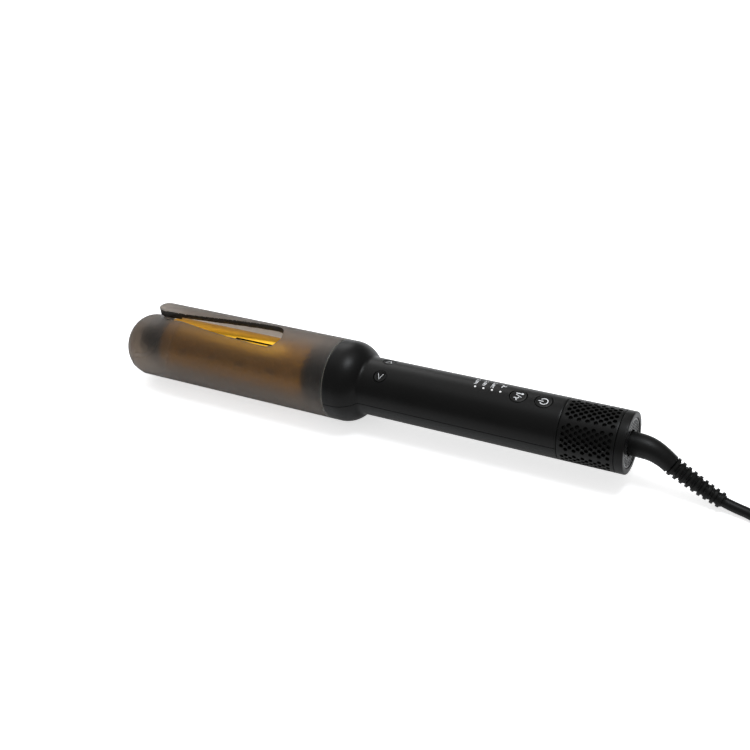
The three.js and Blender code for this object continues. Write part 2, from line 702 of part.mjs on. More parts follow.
const PLUG_LENGTH = 28;
const PLUG_RELIEF = 17;
const BLADE_LENGTH = 16;
const BLADE_SPACING = 12.7;

function plugBody() {
  const section = (halfWidth, halfHeight, x) => {
    const corner = Math.min(halfWidth, halfHeight) * 0.6;
    const points = [];
    for (const [sy, sz, from] of [[1, 1, 0], [-1, 1, 90], [-1, -1, 180], [1, -1, 270]]) {
      for (const turn of [0, 45, 90]) {
        const angle = radians(from + turn);
        const y = sy * (halfWidth - corner) + corner * Math.cos(angle);
        const z = sz * (halfHeight - corner) + corner * Math.sin(angle);
        points.push(new THREE.Vector3(x, y, z));
      }
    }
    return points;
  };
  const body = PLUG_RELIEF;
  return loft([
    section(4, 4, 0), section(4.8, 4.8, body - 1), section(9, 6.4, body + 3), section(12, 7.5, body + 9),
    section(12, 7.5, body + PLUG_LENGTH - 1), section(11, 6.8, body + PLUG_LENGTH),
  ]).rotate([0, 0, 90]).translate([PLUG_X, PLUG_Y, PLUG_Z]);
}

function plugBlade(side) {
  const start = PLUG_Y + PLUG_RELIEF + PLUG_LENGTH + GAP;
  const x = PLUG_X + (side * BLADE_SPACING) / 2;
  return box(x - 0.75, x + 0.75, start, start + BLADE_LENGTH, PLUG_Z - 3.2, PLUG_Z + 3.2);
}

const shellScrew = (x) =>
  post(x, [[-10.2, 0], [-10.2, 2], [-8.3, 2], [-8.3, 1], [6, 1], [6, 0]]);

// ---------------------------------------------------------------- assembly

const curler = new THREE.Group();
curler.position.set(-MIDDLE_X, 0, COVER_R);

function add(name, shape, material) {
  const mesh = new THREE.Mesh(geometryOf(shape), material);
  mesh.name = name;
  curler.add(mesh);
}

add('guard_cover', guardCover(), SMOKE);
add('base_collar', baseCollar(), DARK);

add('curl_barrel', curlBarrel(), GOLD);
add('barrel_tip_cap', barrelTipCap(), DARK);
add('barrel_hub', barrelHub(), DARK);
add('heat_shoe_upper', heatShoe(1), ALUMINIUM);
add('heat_shoe_lower', heatShoe(-1), ALUMINIUM);
add('heater_plate', heaterPlate(), CERAMIC);
add('thermal_fuse', thermalFuse(), STEEL);
add('temperature_sensor', temperatureSensor(), CERAMIC);
add('slip_ring_front', slipRing(-145.8), COPPER);
add('slip_ring_rear', slipRing(-142.6), COPPER);
add('ring_gear', ringGear(), GEAR);

add('head_frame', headFrame(), DARK);
add('front_bearing', bearing(-156.8), STEEL);
add('rear_bearing', bearing(-151.4), STEEL);
add('brush_block', brushBlock(), BLACK);
add('motor_pinion', motorPinion(), BRASS);
add('motor_bracket', motorBracket(), STEEL);
add('motor_gearbox', motorGearbox(), STEEL);
add('motor_can', motorCan(), STEEL);

add('handle_upper_shell', handleUpperShell(), BLACK);
add('handle_lower_shell', handleLowerShell(), BLACK);
add('control_board', controlBoard(), BOARD);
add('power_board', powerBoard(), BOARD);
add('led_light_guide', lightGuide(), LIGHT);

const directionY = 13.2 * Math.sin(radians(DIRECTION_TILT));
add('power_switch', tactSwitch(POWER_X, 0), DARK);
add('temperature_switch', tactSwitch(TEMPERATURE_X, 0), DARK);
add('forward_switch', tactSwitch(DIRECTION_X, -directionY), DARK);
add('reverse_switch', tactSwitch(DIRECTION_X, directionY), DARK);

const switchTop = BOARD_Z + 3.4 + BUTTON_TRAVEL + 0.1;
add('power_button', roundButton(POWER_X, BUTTON_R, 18.5, 15, switchTop), BLACK);
add('temperature_button', roundButton(TEMPERATURE_X, BUTTON_R, 18.5, 15, switchTop), BLACK);
for (const [name, side] of [['forward_button', 1], ['reverse_button', -1]]) {
  add(name, roundButton(DIRECTION_X, DIRECTION_BUTTON_R, 18.8, 15.2, 13.9, side * DIRECTION_TILT), BLACK);
}

add('vent_sleeve', ventSleeve(), BLACK);
add('dust_screen', dustScreen(), DARK);
add('fan_frame', fanFrame(), DARK);
add('fan_rotor', fanRotor(), DARK);
add('fan_motor', fanMotor(), STEEL);
add('end_cap', endCap(), BLACK);
add('end_grille', endGrille(), BLACK);
add('cord_clamp', cordClamp(), DARK);
add('shell_screw_front', shellScrew(SCREW_X[0]), STEEL);
add('shell_screw_rear', shellScrew(SCREW_X[1]), STEEL);

add('cord_boot', cordBoot(), RUBBER);
add('power_cord', cordTube(CORD_ROUTE, 8), RUBBER);
add('cord_coil', cordCoil(), RUBBER);
add('coil_tie', coilTie(), RUBBER);
add('plug_lead', cordTube(LEAD_ROUTE, 3), RUBBER);
add('plug_body', plugBody(), RUBBER);
add('plug_blade_left', plugBlade(-1), BRASS);
add('plug_blade_right', plugBlade(1), BRASS);

export default curler;
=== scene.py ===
"""Automatic hair curler: the looks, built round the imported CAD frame.

Shapes are worked out in millimetres on the tool: x runs along it from the seam between the handle shells
and the vented sleeve, y across it, z up from its axis. Angles are degrees round the axis from +y towards
+z, so 90 is the control side. place() takes such points to the frame's metres.
"""

import json
import math

import bmesh
import bpy
import numpy as np
from mathutils import Matrix, Vector


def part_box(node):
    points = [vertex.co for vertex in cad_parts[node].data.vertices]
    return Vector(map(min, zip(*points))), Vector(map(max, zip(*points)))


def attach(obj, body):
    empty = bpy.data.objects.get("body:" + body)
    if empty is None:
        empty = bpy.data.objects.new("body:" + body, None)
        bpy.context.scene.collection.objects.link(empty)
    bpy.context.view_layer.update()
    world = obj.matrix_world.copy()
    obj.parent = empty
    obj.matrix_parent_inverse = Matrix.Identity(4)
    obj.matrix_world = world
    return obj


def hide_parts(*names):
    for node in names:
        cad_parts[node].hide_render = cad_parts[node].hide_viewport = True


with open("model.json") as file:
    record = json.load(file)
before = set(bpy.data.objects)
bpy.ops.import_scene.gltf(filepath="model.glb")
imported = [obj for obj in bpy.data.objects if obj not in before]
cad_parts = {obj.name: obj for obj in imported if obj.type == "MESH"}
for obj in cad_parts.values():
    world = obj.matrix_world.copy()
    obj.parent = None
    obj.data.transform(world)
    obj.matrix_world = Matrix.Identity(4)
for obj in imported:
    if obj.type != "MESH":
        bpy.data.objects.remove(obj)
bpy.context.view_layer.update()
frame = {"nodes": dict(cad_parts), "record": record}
scene = bpy.context.scene

# ---- sizes, from the frame

MM = 0.001
ORIGIN = Vector((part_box("vent_sleeve")[0].x, 0, sum(corner.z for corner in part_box("curl_barrel")) / 2))


def new_object(name, data):
    made = bpy.data.objects.new(name, data)
    scene.collection.objects.link(made)
    return made


def reach(node, axis=0):
    """Lowest and highest millimetre of a CAD node along x (0), y (1) or z (2)."""
    return [(corner[axis] - ORIGIN[axis]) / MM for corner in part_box(node)]


GAP = 0.3  # between neighbours that touch
TIP_X, SEAM_X = reach("guard_cover")
COVER_R = -reach("guard_cover", 2)[0]
COVER_WALL = 2.3
HANDLE_R = reach("vent_sleeve", 2)[1]
SLEEVE_END_X = reach("vent_sleeve")[1]
END_X = reach("end_cap")[1]
BARREL_X = reach("curl_barrel")
BARREL_R = reach("curl_barrel", 2)[1]
FLOOR_Z = -ORIGIN.z / MM
WALL = 2.0  # of the handle shells


# ---- camera

CAMERA_PLACE = (0.32419, -0.44465, 0.49200)
CAMERA_AZIMUTH = 34.88
CAMERA_ELEVATION = 40.02
CAMERA_ROLL = -11.89
CAMERA_LENS = 52.8  # mm
CAMERA_SENSOR = 36  # mm wide


def make_camera():
    data = bpy.data.cameras.new("camera")
    data.lens = CAMERA_LENS
    data.sensor_width = CAMERA_SENSOR
    camera = new_object("camera", data)
    turn = Matrix.Rotation(math.radians(CAMERA_AZIMUTH), 4, "Z")
    turn @= Matrix.Rotation(math.radians(90 - CAMERA_ELEVATION), 4, "X")
    turn @= Matrix.Rotation(math.radians(CAMERA_ROLL), 4, "Z")
    camera.matrix_world = Matrix.Translation(CAMERA_PLACE) @ turn
    scene.camera = camera


make_camera()


# ---- materials


def node_tree(name):
    """A new material with its node tree and its Principled shader."""
    material = bpy.data.materials.new(name)
    material.use_nodes = True
    tree = material.node_tree
    return material, tree, tree.nodes["Principled BSDF"]


def fill(tree, node, inputs):
    """Sets a node's inputs, each to a value or by a link from another node's output."""
    for name, value in inputs.items():
        if isinstance(value, bpy.types.NodeSocket):
            tree.links.new(value, node.inputs[name])
        else:
            node.inputs[name].default_value = value
    return node


def add(tree, kind, inputs):
    return fill(tree, tree.nodes.new("ShaderNode" + kind), inputs)


def object_place(tree):
    """The place on the object, in its own metres."""
    return add(tree, "TexCoord", {}).outputs["Object"]


def noise(tree, scale, detail=3.0, stretch=(1, 1, 1)):
    """Noise over the object; scale is in cells per metre."""
    mapping = add(tree, "Mapping", {"Vector": object_place(tree), "Scale": stretch})
    made = add(tree, "TexNoise", {"Vector": mapping.outputs["Vector"], "Scale": scale, "Detail": detail})
    return made.outputs["Fac"]


def between(tree, value, low, high):
    """A value from 0 to 1 spread between two others."""
    return add(tree, "MapRange", {"Value": value, "To Min": low, "To Max": high}).outputs["Result"]


def two_tone(tree, value, dark, light):
    ramp = tree.nodes.new("ShaderNodeValToRGB")
    for stop, position, colour in zip(ramp.color_ramp.elements, (0.3, 0.7), (dark, light)):
        stop.position = position
        stop.color = (*colour, 1)
    tree.links.new(value, ramp.inputs["Fac"])
    return ramp.outputs["Color"]


def bump(tree, shader, value, depth, strength=0.5):
    made = add(tree, "Bump", {"Height": value, "Distance": depth * MM, "Strength": strength})
    tree.links.new(made.outputs["Normal"], shader.inputs["Normal"])


CLOUD_SCALE = 55


def surface(name, dark, light, rough, metallic=0.0, grain=2600, depth=0.02, stretch=(1, 1, 1), specular=0.5):
    """A finish with cloudy colour, a fine grain in its relief, and roughness that clouds vary."""
    material, tree, shader = node_tree(name)
    cloud = noise(tree, CLOUD_SCALE, 4.0, stretch)
    fine = noise(tree, grain, 2.0, stretch)
    fill(tree, shader, {
        "Base Color": two_tone(tree, cloud, dark, light),
        "Roughness": between(tree, cloud, *rough),
        "Metallic": metallic,
        "Specular IOR Level": specular,
    })
    bump(tree, shader, fine, depth)
    return material


SMOKE_TINT = ((0.78, 0.755, 0.72), (0.80, 0.775, 0.74))
DOME_TINT = (0.97, 0.95, 0.92, 1)
DOME_TINT_X = (-0.166, -0.180)  # metres in the frame where the dome's lighter tint starts and is full
MIX_SHARE, MIX_FIRST, MIX_SECOND, MIX_RESULT = 0, 6, 7, 2  # sockets of a Mix node that mixes colours


def smoke_material():
    """Frosted smoky plastic that the barrel shows through, with a lighter tint towards the dome's end."""
    material, tree, shader = node_tree("frosted_smoke")
    cloud = noise(tree, 40)
    fine = noise(tree, 3200, 2.0)
    along = add(tree, "SeparateXYZ", {"Vector": object_place(tree)}).outputs["X"]
    dome = add(tree, "MapRange", {"Value": along, "From Min": DOME_TINT_X[0], "From Max": DOME_TINT_X[1]})
    tint = tree.nodes.new("ShaderNodeMix")
    tint.data_type = "RGBA"
    fill(tree, tint, {
        MIX_SHARE: dome.outputs["Result"],
        MIX_FIRST: two_tone(tree, cloud, *SMOKE_TINT),
        MIX_SECOND: DOME_TINT,
    })
    fill(tree, shader, {
        "Base Color": tint.outputs[MIX_RESULT],
        "Roughness": between(tree, fine, 0.46, 0.52),
        "Transmission Weight": 1.0,
        "IOR": 1.45,
        "Specular IOR Level": 0.2,
    })
    bump(tree, shader, fine, 0.01, 0.3)
    smoke = add(tree, "VolumeAbsorption", {"Color": (0.44, 0.33, 0.22, 1), "Density": 355})
    tree.links.new(smoke.outputs["Volume"], tree.nodes["Material Output"].inputs["Volume"])
    return material


def board_material():
    """Green solder mask with a faint pattern of copper tracks under it."""
    material, tree, shader = node_tree("circuit_board")
    tracks = add(tree, "TexBrick", {
        "Vector": object_place(tree),
        "Scale": 260,
        "Mortar Size": 0.06,
        "Color1": (0.012, 0.085, 0.035, 1),
        "Color2": (0.014, 0.1, 0.04, 1),
        "Mortar": (0.03, 0.17, 0.06, 1),
    })
    fill(tree, shader, {
        "Base Color": tracks.outputs["Color"],
        "Roughness": between(tree, noise(tree, 900), 0.35, 0.5),
    })
    bump(tree, shader, tracks.outputs["Fac"], 0.03)
    return material


WHITE = (1, 1, 1, 1)
MATERIALS = {
    "smoke_cover": smoke_material(),
    "grille_gloss": surface("grille_black", (0.008, 0.008, 0.009), (0.011, 0.011, 0.012), (0.24, 0.3),
                            specular=0.6),
    "black_plastic": surface("satin_black", (0.0032, 0.0032, 0.0031), (0.0042, 0.0042, 0.004), (0.33, 0.38),
                             specular=0.15),
    "dark_plastic": surface("heat_resistant_black", (0.0034, 0.0034, 0.0033), (0.0046, 0.0046, 0.0044),
                            (0.5, 0.6), specular=0.22),
    "gold_barrel": surface("gold_coating", (0.84, 0.44, 0.025), (0.88, 0.49, 0.03), (0.30, 0.38), 1.0,
                           grain=1800, depth=0.006),
    "aluminium": surface("aluminium", (0.5, 0.5, 0.51), (0.62, 0.62, 0.63), (0.35, 0.5), 1.0,
                         stretch=(0.1, 1, 1)),
    "steel": surface("zinc_plated_steel", (0.42, 0.43, 0.44), (0.55, 0.55, 0.56), (0.25, 0.4), 1.0),
    "brass": surface("brass", (0.62, 0.42, 0.16), (0.72, 0.5, 0.2), (0.22, 0.34), 1.0, depth=0.008),
    "ceramic": surface("ceramic", (0.62, 0.6, 0.55), (0.72, 0.7, 0.65), (0.5, 0.65)),
    "gear_plastic": surface("acetal", (0.68, 0.66, 0.6), (0.75, 0.73, 0.67), (0.35, 0.45)),
    "circuit_board": board_material(),
    "light_guide": surface("milky_guide", (0.8, 0.8, 0.79), (0.88, 0.88, 0.87), (0.3, 0.4), depth=0.005),
    "cord_rubber": surface("soft_rubber", (0.0034, 0.0034, 0.0033), (0.0048, 0.0048, 0.0046), (0.38, 0.46),
                           grain=1500, depth=0.03, specular=0.17),
    "white_print": surface("white_print", (0.78, 0.79, 0.81), (0.86, 0.87, 0.89), (0.5, 0.6), depth=0.003),
}

# Painted shade: near-black for the insides of the barrel's vents and groove.
RECESS_PAINTED_SHADE = surface("barrel_recess_painted_shade", (0.010, 0.008, 0.006), (0.014, 0.011, 0.008), (0.6, 0.7), specular=0.15)
# Painted shade: a dark opaque brown on the tongue's cut edge and its rib.
COVER_CUT_PAINTED_SHADE = surface("cover_cut_painted_shade", (0.022, 0.019, 0.016), (0.030, 0.026, 0.022), (0.30, 0.38), depth=0.004,
                    specular=0.35)
# Painted highlight: a lighter, glossy, opaque grey on the guard's rim along the seam.
COVER_RIM_PAINTED_HIGHLIGHT = surface("cover_rim_painted_highlight", (0.10, 0.095, 0.08), (0.13, 0.125, 0.11), (0.15, 0.22), depth=0.004)

guide_tree = MATERIALS["light_guide"].node_tree
fill(guide_tree, guide_tree.nodes["Principled BSDF"], {"Emission Color": WHITE, "Emission Strength": 0.15})


SHARP_ANGLE = 34  # degrees between faces from which an edge is shaded as sharp


def dress_frame():
    """Gives every carried-over CAD node the finish that the record names for it."""
    for part in frame["record"]["subparts"]:
        node = frame["nodes"][part["node"]]
        node.data.materials.clear()
        node.data.materials.append(MATERIALS[part["material_slot"]])
        node.data.shade_smooth()
        node.data.set_sharp_from_angle(angle=math.radians(SHARP_ANGLE))


dress_frame()


# ---- mesh helpers


def place(points):
    """Points in tool millimetres as frame metres."""
    return np.asarray(points, float) * MM + np.array(ORIGIN)


def mesh_object(name, points, faces):
    mesh = bpy.data.meshes.new(name)
    mesh.from_pydata([tuple(p) for p in place(points)], [], [tuple(f) for f in faces])
    tidy = bmesh.new()
    tidy.from_mesh(mesh)
    bmesh.ops.remove_doubles(tidy, verts=tidy.verts, dist=1e-7)
    bmesh.ops.recalc_face_normals(tidy, faces=tidy.faces)
    tidy.to_mesh(mesh)
    tidy.free()
    return new_object(name, mesh)


def settle(made):
    """Applies the object's modifiers to its mesh."""
    graph = bpy.context.evaluated_depsgraph_get()
    old = made.data
    new = bpy.data.meshes.new_from_object(made.evaluated_get(graph))
    made.modifiers.clear()
    made.data = new
    new.name = made.name
    new.validate()
    bpy.data.meshes.remove(old)


def boolean(made, operation, others):
    for other in others:
        step = made.modifiers.new("boolean", "BOOLEAN")
        step.operation = operation
        step.object = other
        step.solver = "EXACT"
    settle(made)
    for other in others:
        bpy.data.objects.remove(other)


def joined(name, shapes):
    """Several (points, faces) shapes as one object."""
    points = []
    faces = []
    for some, its_faces in shapes:
        start = len(points)
        points.extend(some)
        faces.extend([index + start for index in face] for face in its_faces)
    return mesh_object(name, points, faces)


def bevel(made, width):
    step = made.modifiers.new("bevel", "BEVEL")
    step.width = width * MM
    step.segments = 2
    step.limit_method = "ANGLE"
    step.angle_limit = math.radians(50)
    settle(made)


def finished(made, slot, body="body", replaces=(), sharp=SHARP_ANGLE, material=None):
    """Shades a piece, gives it a named material or else its slot's, and lets it ride on its body."""
    made.data.materials.clear()
    made.data.materials.append(MATERIALS[material or slot])
    made.data.shade_smooth()
    made.data.set_sharp_from_angle(angle=math.radians(sharp))
    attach(made, body)
    if replaces:
        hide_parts(*replaces)
    return made


def recolour(made, finishes, finish_of):
    """Adds materials to a piece, here those that paint shade and highlights; finish_of(face, x, y, z) is a
    face's number, 0 for the one it has.
    """
    for material in finishes:
        made.data.materials.append(material)
    for face in made.data.polygons:
        face.material_index = finish_of(face, *((face.center - ORIGIN) / MM))
    return made


def grid(rows, columns, wrap_rows, wrap_columns):
    """Quads of a grid of points that are numbered row by row."""
    faces = []
    for i in range(rows if wrap_rows else rows - 1):
        here = i * columns
        after = (i + 1) % rows * columns
        for k in range(columns if wrap_columns else columns - 1):
            beside = (k + 1) % columns
            faces.append((here + k, here + beside, after + beside, after + k))
    return faces


def smoothstep(t):
    t = np.clip(t, 0, 1)
    return t * t * (3 - 2 * t)


def rounded(corners, steps=4):
    """A closed profile of (x, radius, rounding) corners, each rounded off by that many millimetres."""
    profile = []
    count = len(corners)
    for i, (x, r, rounding) in enumerate(corners):
        here = np.array([x, r])
        before = np.array(corners[i - 1][:2]) - here
        after = np.array(corners[(i + 1) % count][:2]) - here
        if not rounding:
            profile.append(here)
            continue
        start = here + before / np.linalg.norm(before) * min(rounding, np.linalg.norm(before) * 0.45)
        end = here + after / np.linalg.norm(after) * min(rounding, np.linalg.norm(after) * 0.45)
        for t in np.linspace(0, 1, steps + 1):
            profile.append((1 - t) ** 2 * start + 2 * t * (1 - t) * here + t * t * end)
    return profile


def whole_turn(count):
    return np.radians(np.arange(count) * 360 / count)


def lathe(profile, segments):
    """A closed (x, radius) profile turned round the tool's axis."""
    turns = whole_turn(segments)
    points = [(x, r * math.cos(a), r * math.sin(a)) for x, r in profile for a in turns]
    return points, grid(len(profile), segments, True, True)


def arc(radius, start, end, centre=(0, 0), count=28):
    """Points round a centre, from one angle to another."""
    return [(centre[0] + radius * math.cos(a), centre[1] + radius * math.sin(a))
            for a in np.radians(np.linspace(start, end, count))]


def turned(name, corners, steps=4, segments=144):
    """A solid turned round the tool's axis from the corners that rounded() takes."""
    return mesh_object(name, *lathe(rounded(corners, steps), segments))


def rod(low, high, r):
    """Profile of a plain round rod, for lathe() or post()."""
    return [(low, 0), (low, r), (high, r), (high, 0)]


def post(x, profile, tilt=0, segments=48):
    """A (height, radius) profile turned round a line from the tool's axis at x, tilted from straight up."""
    turns = whole_turn(segments)
    points = [on_post(x, tilt, r * math.cos(a), r * math.sin(a), h) for h, r in profile for a in turns]
    return points, grid(len(profile), segments, True, True)


def on_post(x, tilt, along, across, height):
    t = math.radians(tilt)
    y = across * math.cos(t) - height * math.sin(t)
    z = across * math.sin(t) + height * math.cos(t)
    return (x + along, y, z)


def tube(rings):
    """A solid through rings of points, closed by a flat face at each end."""
    count = len(rings[0])
    points = [point for ring in rings for point in ring]
    faces = grid(len(rings), count, False, True)
    return points, [*faces, tuple(range(count)), tuple(range(len(points) - count, len(points)))]


def plate(outline, x0, x1):
    """A solid whose outline of (y, z) points is drawn along x."""
    return tube([[(x, y, z) for y, z in outline] for x in (x0, x1)])


def slab(stations, inner, outer, cells):
    """A curved slab between two radii; each station is (x, from angle, to angle)."""
    points = []
    for x, start, end in stations:
        for k in range(cells + 1):
            a = math.radians(start + (end - start) * k / cells)
            points.append((x, inner * math.cos(a), inner * math.sin(a)))
        for k in range(cells, -1, -1):
            a = math.radians(start + (end - start) * k / cells)
            points.append((x, outer * math.cos(a), outer * math.sin(a)))
    ring = 2 * cells + 2
    faces = grid(len(stations), ring, False, True)
    last = (len(stations) - 1) * ring
    for k in range(cells):
        faces.append((k, k + 1, ring - 2 - k, ring - 1 - k))
        faces.append((last + k, last + k + 1, last + ring - 2 - k, last + ring - 1 - k))
    return points, faces


def follow(knots, x):
    """Height at x of a smooth curve through (x, value) knots."""
    i = 0
    while i < len(knots) - 2 and x > knots[i + 1][0]:
        i += 1

    def slope(j):
        a = knots[max(j - 1, 0)]
        b = knots[min(j + 1, len(knots) - 1)]
        return (b[1] - a[1]) / (b[0] - a[0])

    (x0, y0), (x1, y1) = knots[i], knots[i + 1]
    t = (x - x0) / (x1 - x0)
    rise = (x1 - x0) * (slope(i) * t * (1 - t) ** 2 - slope(i + 1) * t * t * (1 - t))
    return y0 + (y1 - y0) * t * t * (3 - 2 * t) + rise


def smooth_path(route, spacing):
    """Points a given distance apart along one smooth curve through a route."""
    knots = np.array(route, float)
    steps = np.sqrt(np.linalg.norm(np.diff(knots, axis=0), axis=1))
    times = np.concatenate([[0], np.cumsum(steps)])
    speed = np.gradient(knots, times, axis=0)
    fine = [knots[0]]
    for i in range(len(knots) - 1):
        width = times[i + 1] - times[i]
        for t in np.linspace(0, 1, 17)[1:]:
            bend = t * t * (3 - 2 * t)
            rise = width * (speed[i] * t * (1 - t) ** 2 - speed[i + 1] * t * t * (1 - t))
            fine.append(knots[i] + (knots[i + 1] - knots[i]) * bend + rise)
    fine = np.array(fine)
    lengths = np.concatenate([[0], np.cumsum(np.linalg.norm(np.diff(fine, axis=0), axis=1))])
    count = max(2, round(lengths[-1] / spacing) + 1)
    at = np.linspace(0, lengths[-1], count)
    return np.column_stack([np.interp(at, lengths, fine[:, k]) for k in range(3)])


# ---- cord

CORD_R = 3.15
BOOT_ROUTE = [(34.2, 0, 0), (40, 0, 0), (50.9, -0.9, -0.3), (58, -1.9, -3), (65.7, -3.4, -8),
              (75, -4.9, -13), (84.7, -6.5, -17.8), (95.5, -8.6, -21.6)]
CORD_LAY_Z = FLOOR_Z + CORD_R + 0.05
COIL_X = 157.1
COIL_Y = 17.3
COIL_Z = CORD_LAY_Z + 1  # the turns lie on the tie
COIL_START_R = 41
TURN_PITCH = 6.3
LAYERS = 4
LAYER_TURNS = 1.75
LAYER_RISE = 6.2
COIL_TURNS = 6.92
COIL_INNER_R = COIL_START_R - LAYER_TURNS * TURN_PITCH
CORD_ROUTE = [(103, -9.8, -23), (110.5, -11.3, CORD_LAY_Z), (118, -14.6, CORD_LAY_Z),
              (125, -19, CORD_LAY_Z), (COIL_X - 25.5, COIL_Y - 40, CORD_LAY_Z + 0.4),
              (COIL_X - 15, COIL_Y - 41, CORD_LAY_Z + 0.8)]
PLUG_X = COIL_X + 57.5
PLUG_Y = COIL_Y - 16.6
PLUG_Z = FLOOR_Z + 7.6
LEAD_FROM_COIL = [(-8, -40.6, 22.7), (5, -42.6, 21.2), (14, -42.9, 19), (22, -42.9, 16.6),
                  (31.5, -42.9, 13.6), (41.45, -40.9, 11.2), (49.9, -35.3, 9.4), (55.5, -26.85, 8.2)]
LEAD_TO_PLUG = [(-0.2, -5, 0.1), (0, 0, 0), (0, 6, 0)]
LEAD_ROUTE = [(COIL_X + x, COIL_Y + y, FLOOR_Z + z) for x, y, z in LEAD_FROM_COIL]
LEAD_ROUTE += [(PLUG_X + x, PLUG_Y + y, PLUG_Z + z) for x, y, z in LEAD_TO_PLUG]
CLIMB_EARLY = 0.12  # turns before a layer's start at which the cord starts to climb
CLIMB_TURNS = 0.5


def coil_route():
    """Four layers, wound in, out, in and out again the same way round; the cord climbs between them."""
    points = []
    steps = 24
    for k in range(round(COIL_TURNS * steps) + 1):
        turn = min(k / steps, COIL_TURNS)
        layer = min(int(turn / LAYER_TURNS), LAYERS - 1)
        into = (turn - layer * LAYER_TURNS) * TURN_PITCH
        r = COIL_INNER_R + into if layer % 2 else COIL_START_R - into
        z = COIL_Z
        for above in range(1, LAYERS):
            climbed = min(max((turn - above * LAYER_TURNS + CLIMB_EARLY) / CLIMB_TURNS, 0), 1)
            z += LAYER_RISE * math.sin(math.pi / 2 * climbed)
        a = 2 * math.pi * turn - math.pi / 2
        points.append((COIL_X + r * math.cos(a), COIL_Y + r * math.sin(a), z))
    return points


def make_cord():
    path = smooth_path([*BOOT_ROUTE[1:], *CORD_ROUTE, *coil_route(), *LEAD_ROUTE], 2.4)
    data = bpy.data.curves.new("mains_cord", "CURVE")
    data.dimensions = "3D"
    spline = data.splines.new("POLY")
    spline.points.add(len(path) - 1)
    for point, at in zip(spline.points, place(path)):
        point.co = (*at, 1)
    data.bevel_depth = CORD_R * MM
    data.bevel_resolution = 6
    data.use_fill_caps = True
    spline.use_smooth = True
    made = new_object("mains_cord", data)
    data.materials.append(MATERIALS["cord_rubber"])
    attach(made, "body")
    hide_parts("power_cord", "cord_coil", "plug_lead")
    return made


def sweep(path, radius_of, sides):
    """A closed body round a path; radius_of(share of the length, angle) is in millimetres."""
    ahead = np.gradient(path, axis=0)
    ahead /= np.linalg.norm(ahead, axis=1)[:, None]
    across = np.cross((0, 0, 1), ahead)
    across /= np.linalg.norm(across, axis=1)[:, None]
    over = np.cross(ahead, across)
    turns = whole_turn(sides)
    points = []
    for i, centre in enumerate(path):
        share = i / (len(path) - 1)
        for a in turns:
            r = radius_of(share, a)
            points.append(centre + r * (math.cos(a) * across[i] + math.sin(a) * over[i]))
    faces = grid(len(path), sides, False, True)
    end = (len(path) - 1) * sides
    points += [path[0], path[-1]]
    for k in range(sides):
        faces.append((k, (k + 1) % sides, len(points) - 2))
        faces.append((end + k, end + (k + 1) % sides, len(points) - 1))
    return points, faces


BOOT_R = 7.2
BOOT_SMOOTH_END = 0.47
RIBBED_R = 5.8
RIBS = 9
RIB_SLOPE = 14  # steepness of the ribs' flanks and of the webs between them


def boot_radius(share, angle):
    """A smooth elbow that narrows, then ribs joined by webs on alternate sides, down to the cord."""
    if share < BOOT_SMOOTH_END:
        start_r = 6.6 + (BOOT_R - 6.6) * float(smoothstep(share / 0.02))
        narrowed = float(smoothstep((share - 0.15) / (BOOT_SMOOTH_END - 0.15)))
        return start_r - (BOOT_R - RIBBED_R) * narrowed
    along = (share - BOOT_SMOOTH_END) / (1 - BOOT_SMOOTH_END)
    rib_r = 6.05 - 1.35 * along
    core_r = 3.95 - 0.5 * along
    number, phase = divmod(along * RIBS, 1)
    painted_shade_on_rib = smoothstep(abs(phase - 0.5) * -RIB_SLOPE + 4.2)
    web_angle = angle + (math.pi / 2 if number % 2 else 0)
    web = smoothstep((abs(math.cos(web_angle)) - 0.84) * RIB_SLOPE)
    between_ribs = core_r + (rib_r - 0.95 - core_r) * web
    return between_ribs + (rib_r - between_ribs) * painted_shade_on_rib


def make_boot():
    points, faces = sweep(smooth_path(BOOT_ROUTE, 0.24), boot_radius, 72)
    made = mesh_object("cord_boot_moulding", points, faces)
    return finished(made, "cord_rubber", replaces=["cord_boot"])


TIE_TURN = math.radians(120)  # round the coil
TIE_WIDTH = 9
TIE_THICKNESS = 0.9
TIE_TOP_CORNER = 4.0
TIE_FLOOR_CORNER = 1.2


def tie_loop():
    """The strap's inside as (radius from the coil's middle, height over the floor) points."""
    inner_r = COIL_INNER_R - CORD_R - 0.3
    outer_r = COIL_START_R + CORD_R + 0.3
    low = 0.05
    high = COIL_Z - FLOOR_Z + (LAYERS - 1) * LAYER_RISE + CORD_R + 0.25
    loop = []
    for r, z, start in [(outer_r, high, 0), (inner_r, high, 90), (inner_r, low, 180), (outer_r, low, 270)]:
        size = TIE_TOP_CORNER if z == high else TIE_FLOOR_CORNER
        centre_r = r - size if r == outer_r else r + size
        centre_z = z - size if z == high else z + size
        for turn in np.radians(np.linspace(start, start + 90, 7)):
            loop.append((centre_r + size * math.cos(turn), centre_z + size * math.sin(turn)))
    return np.array(loop)


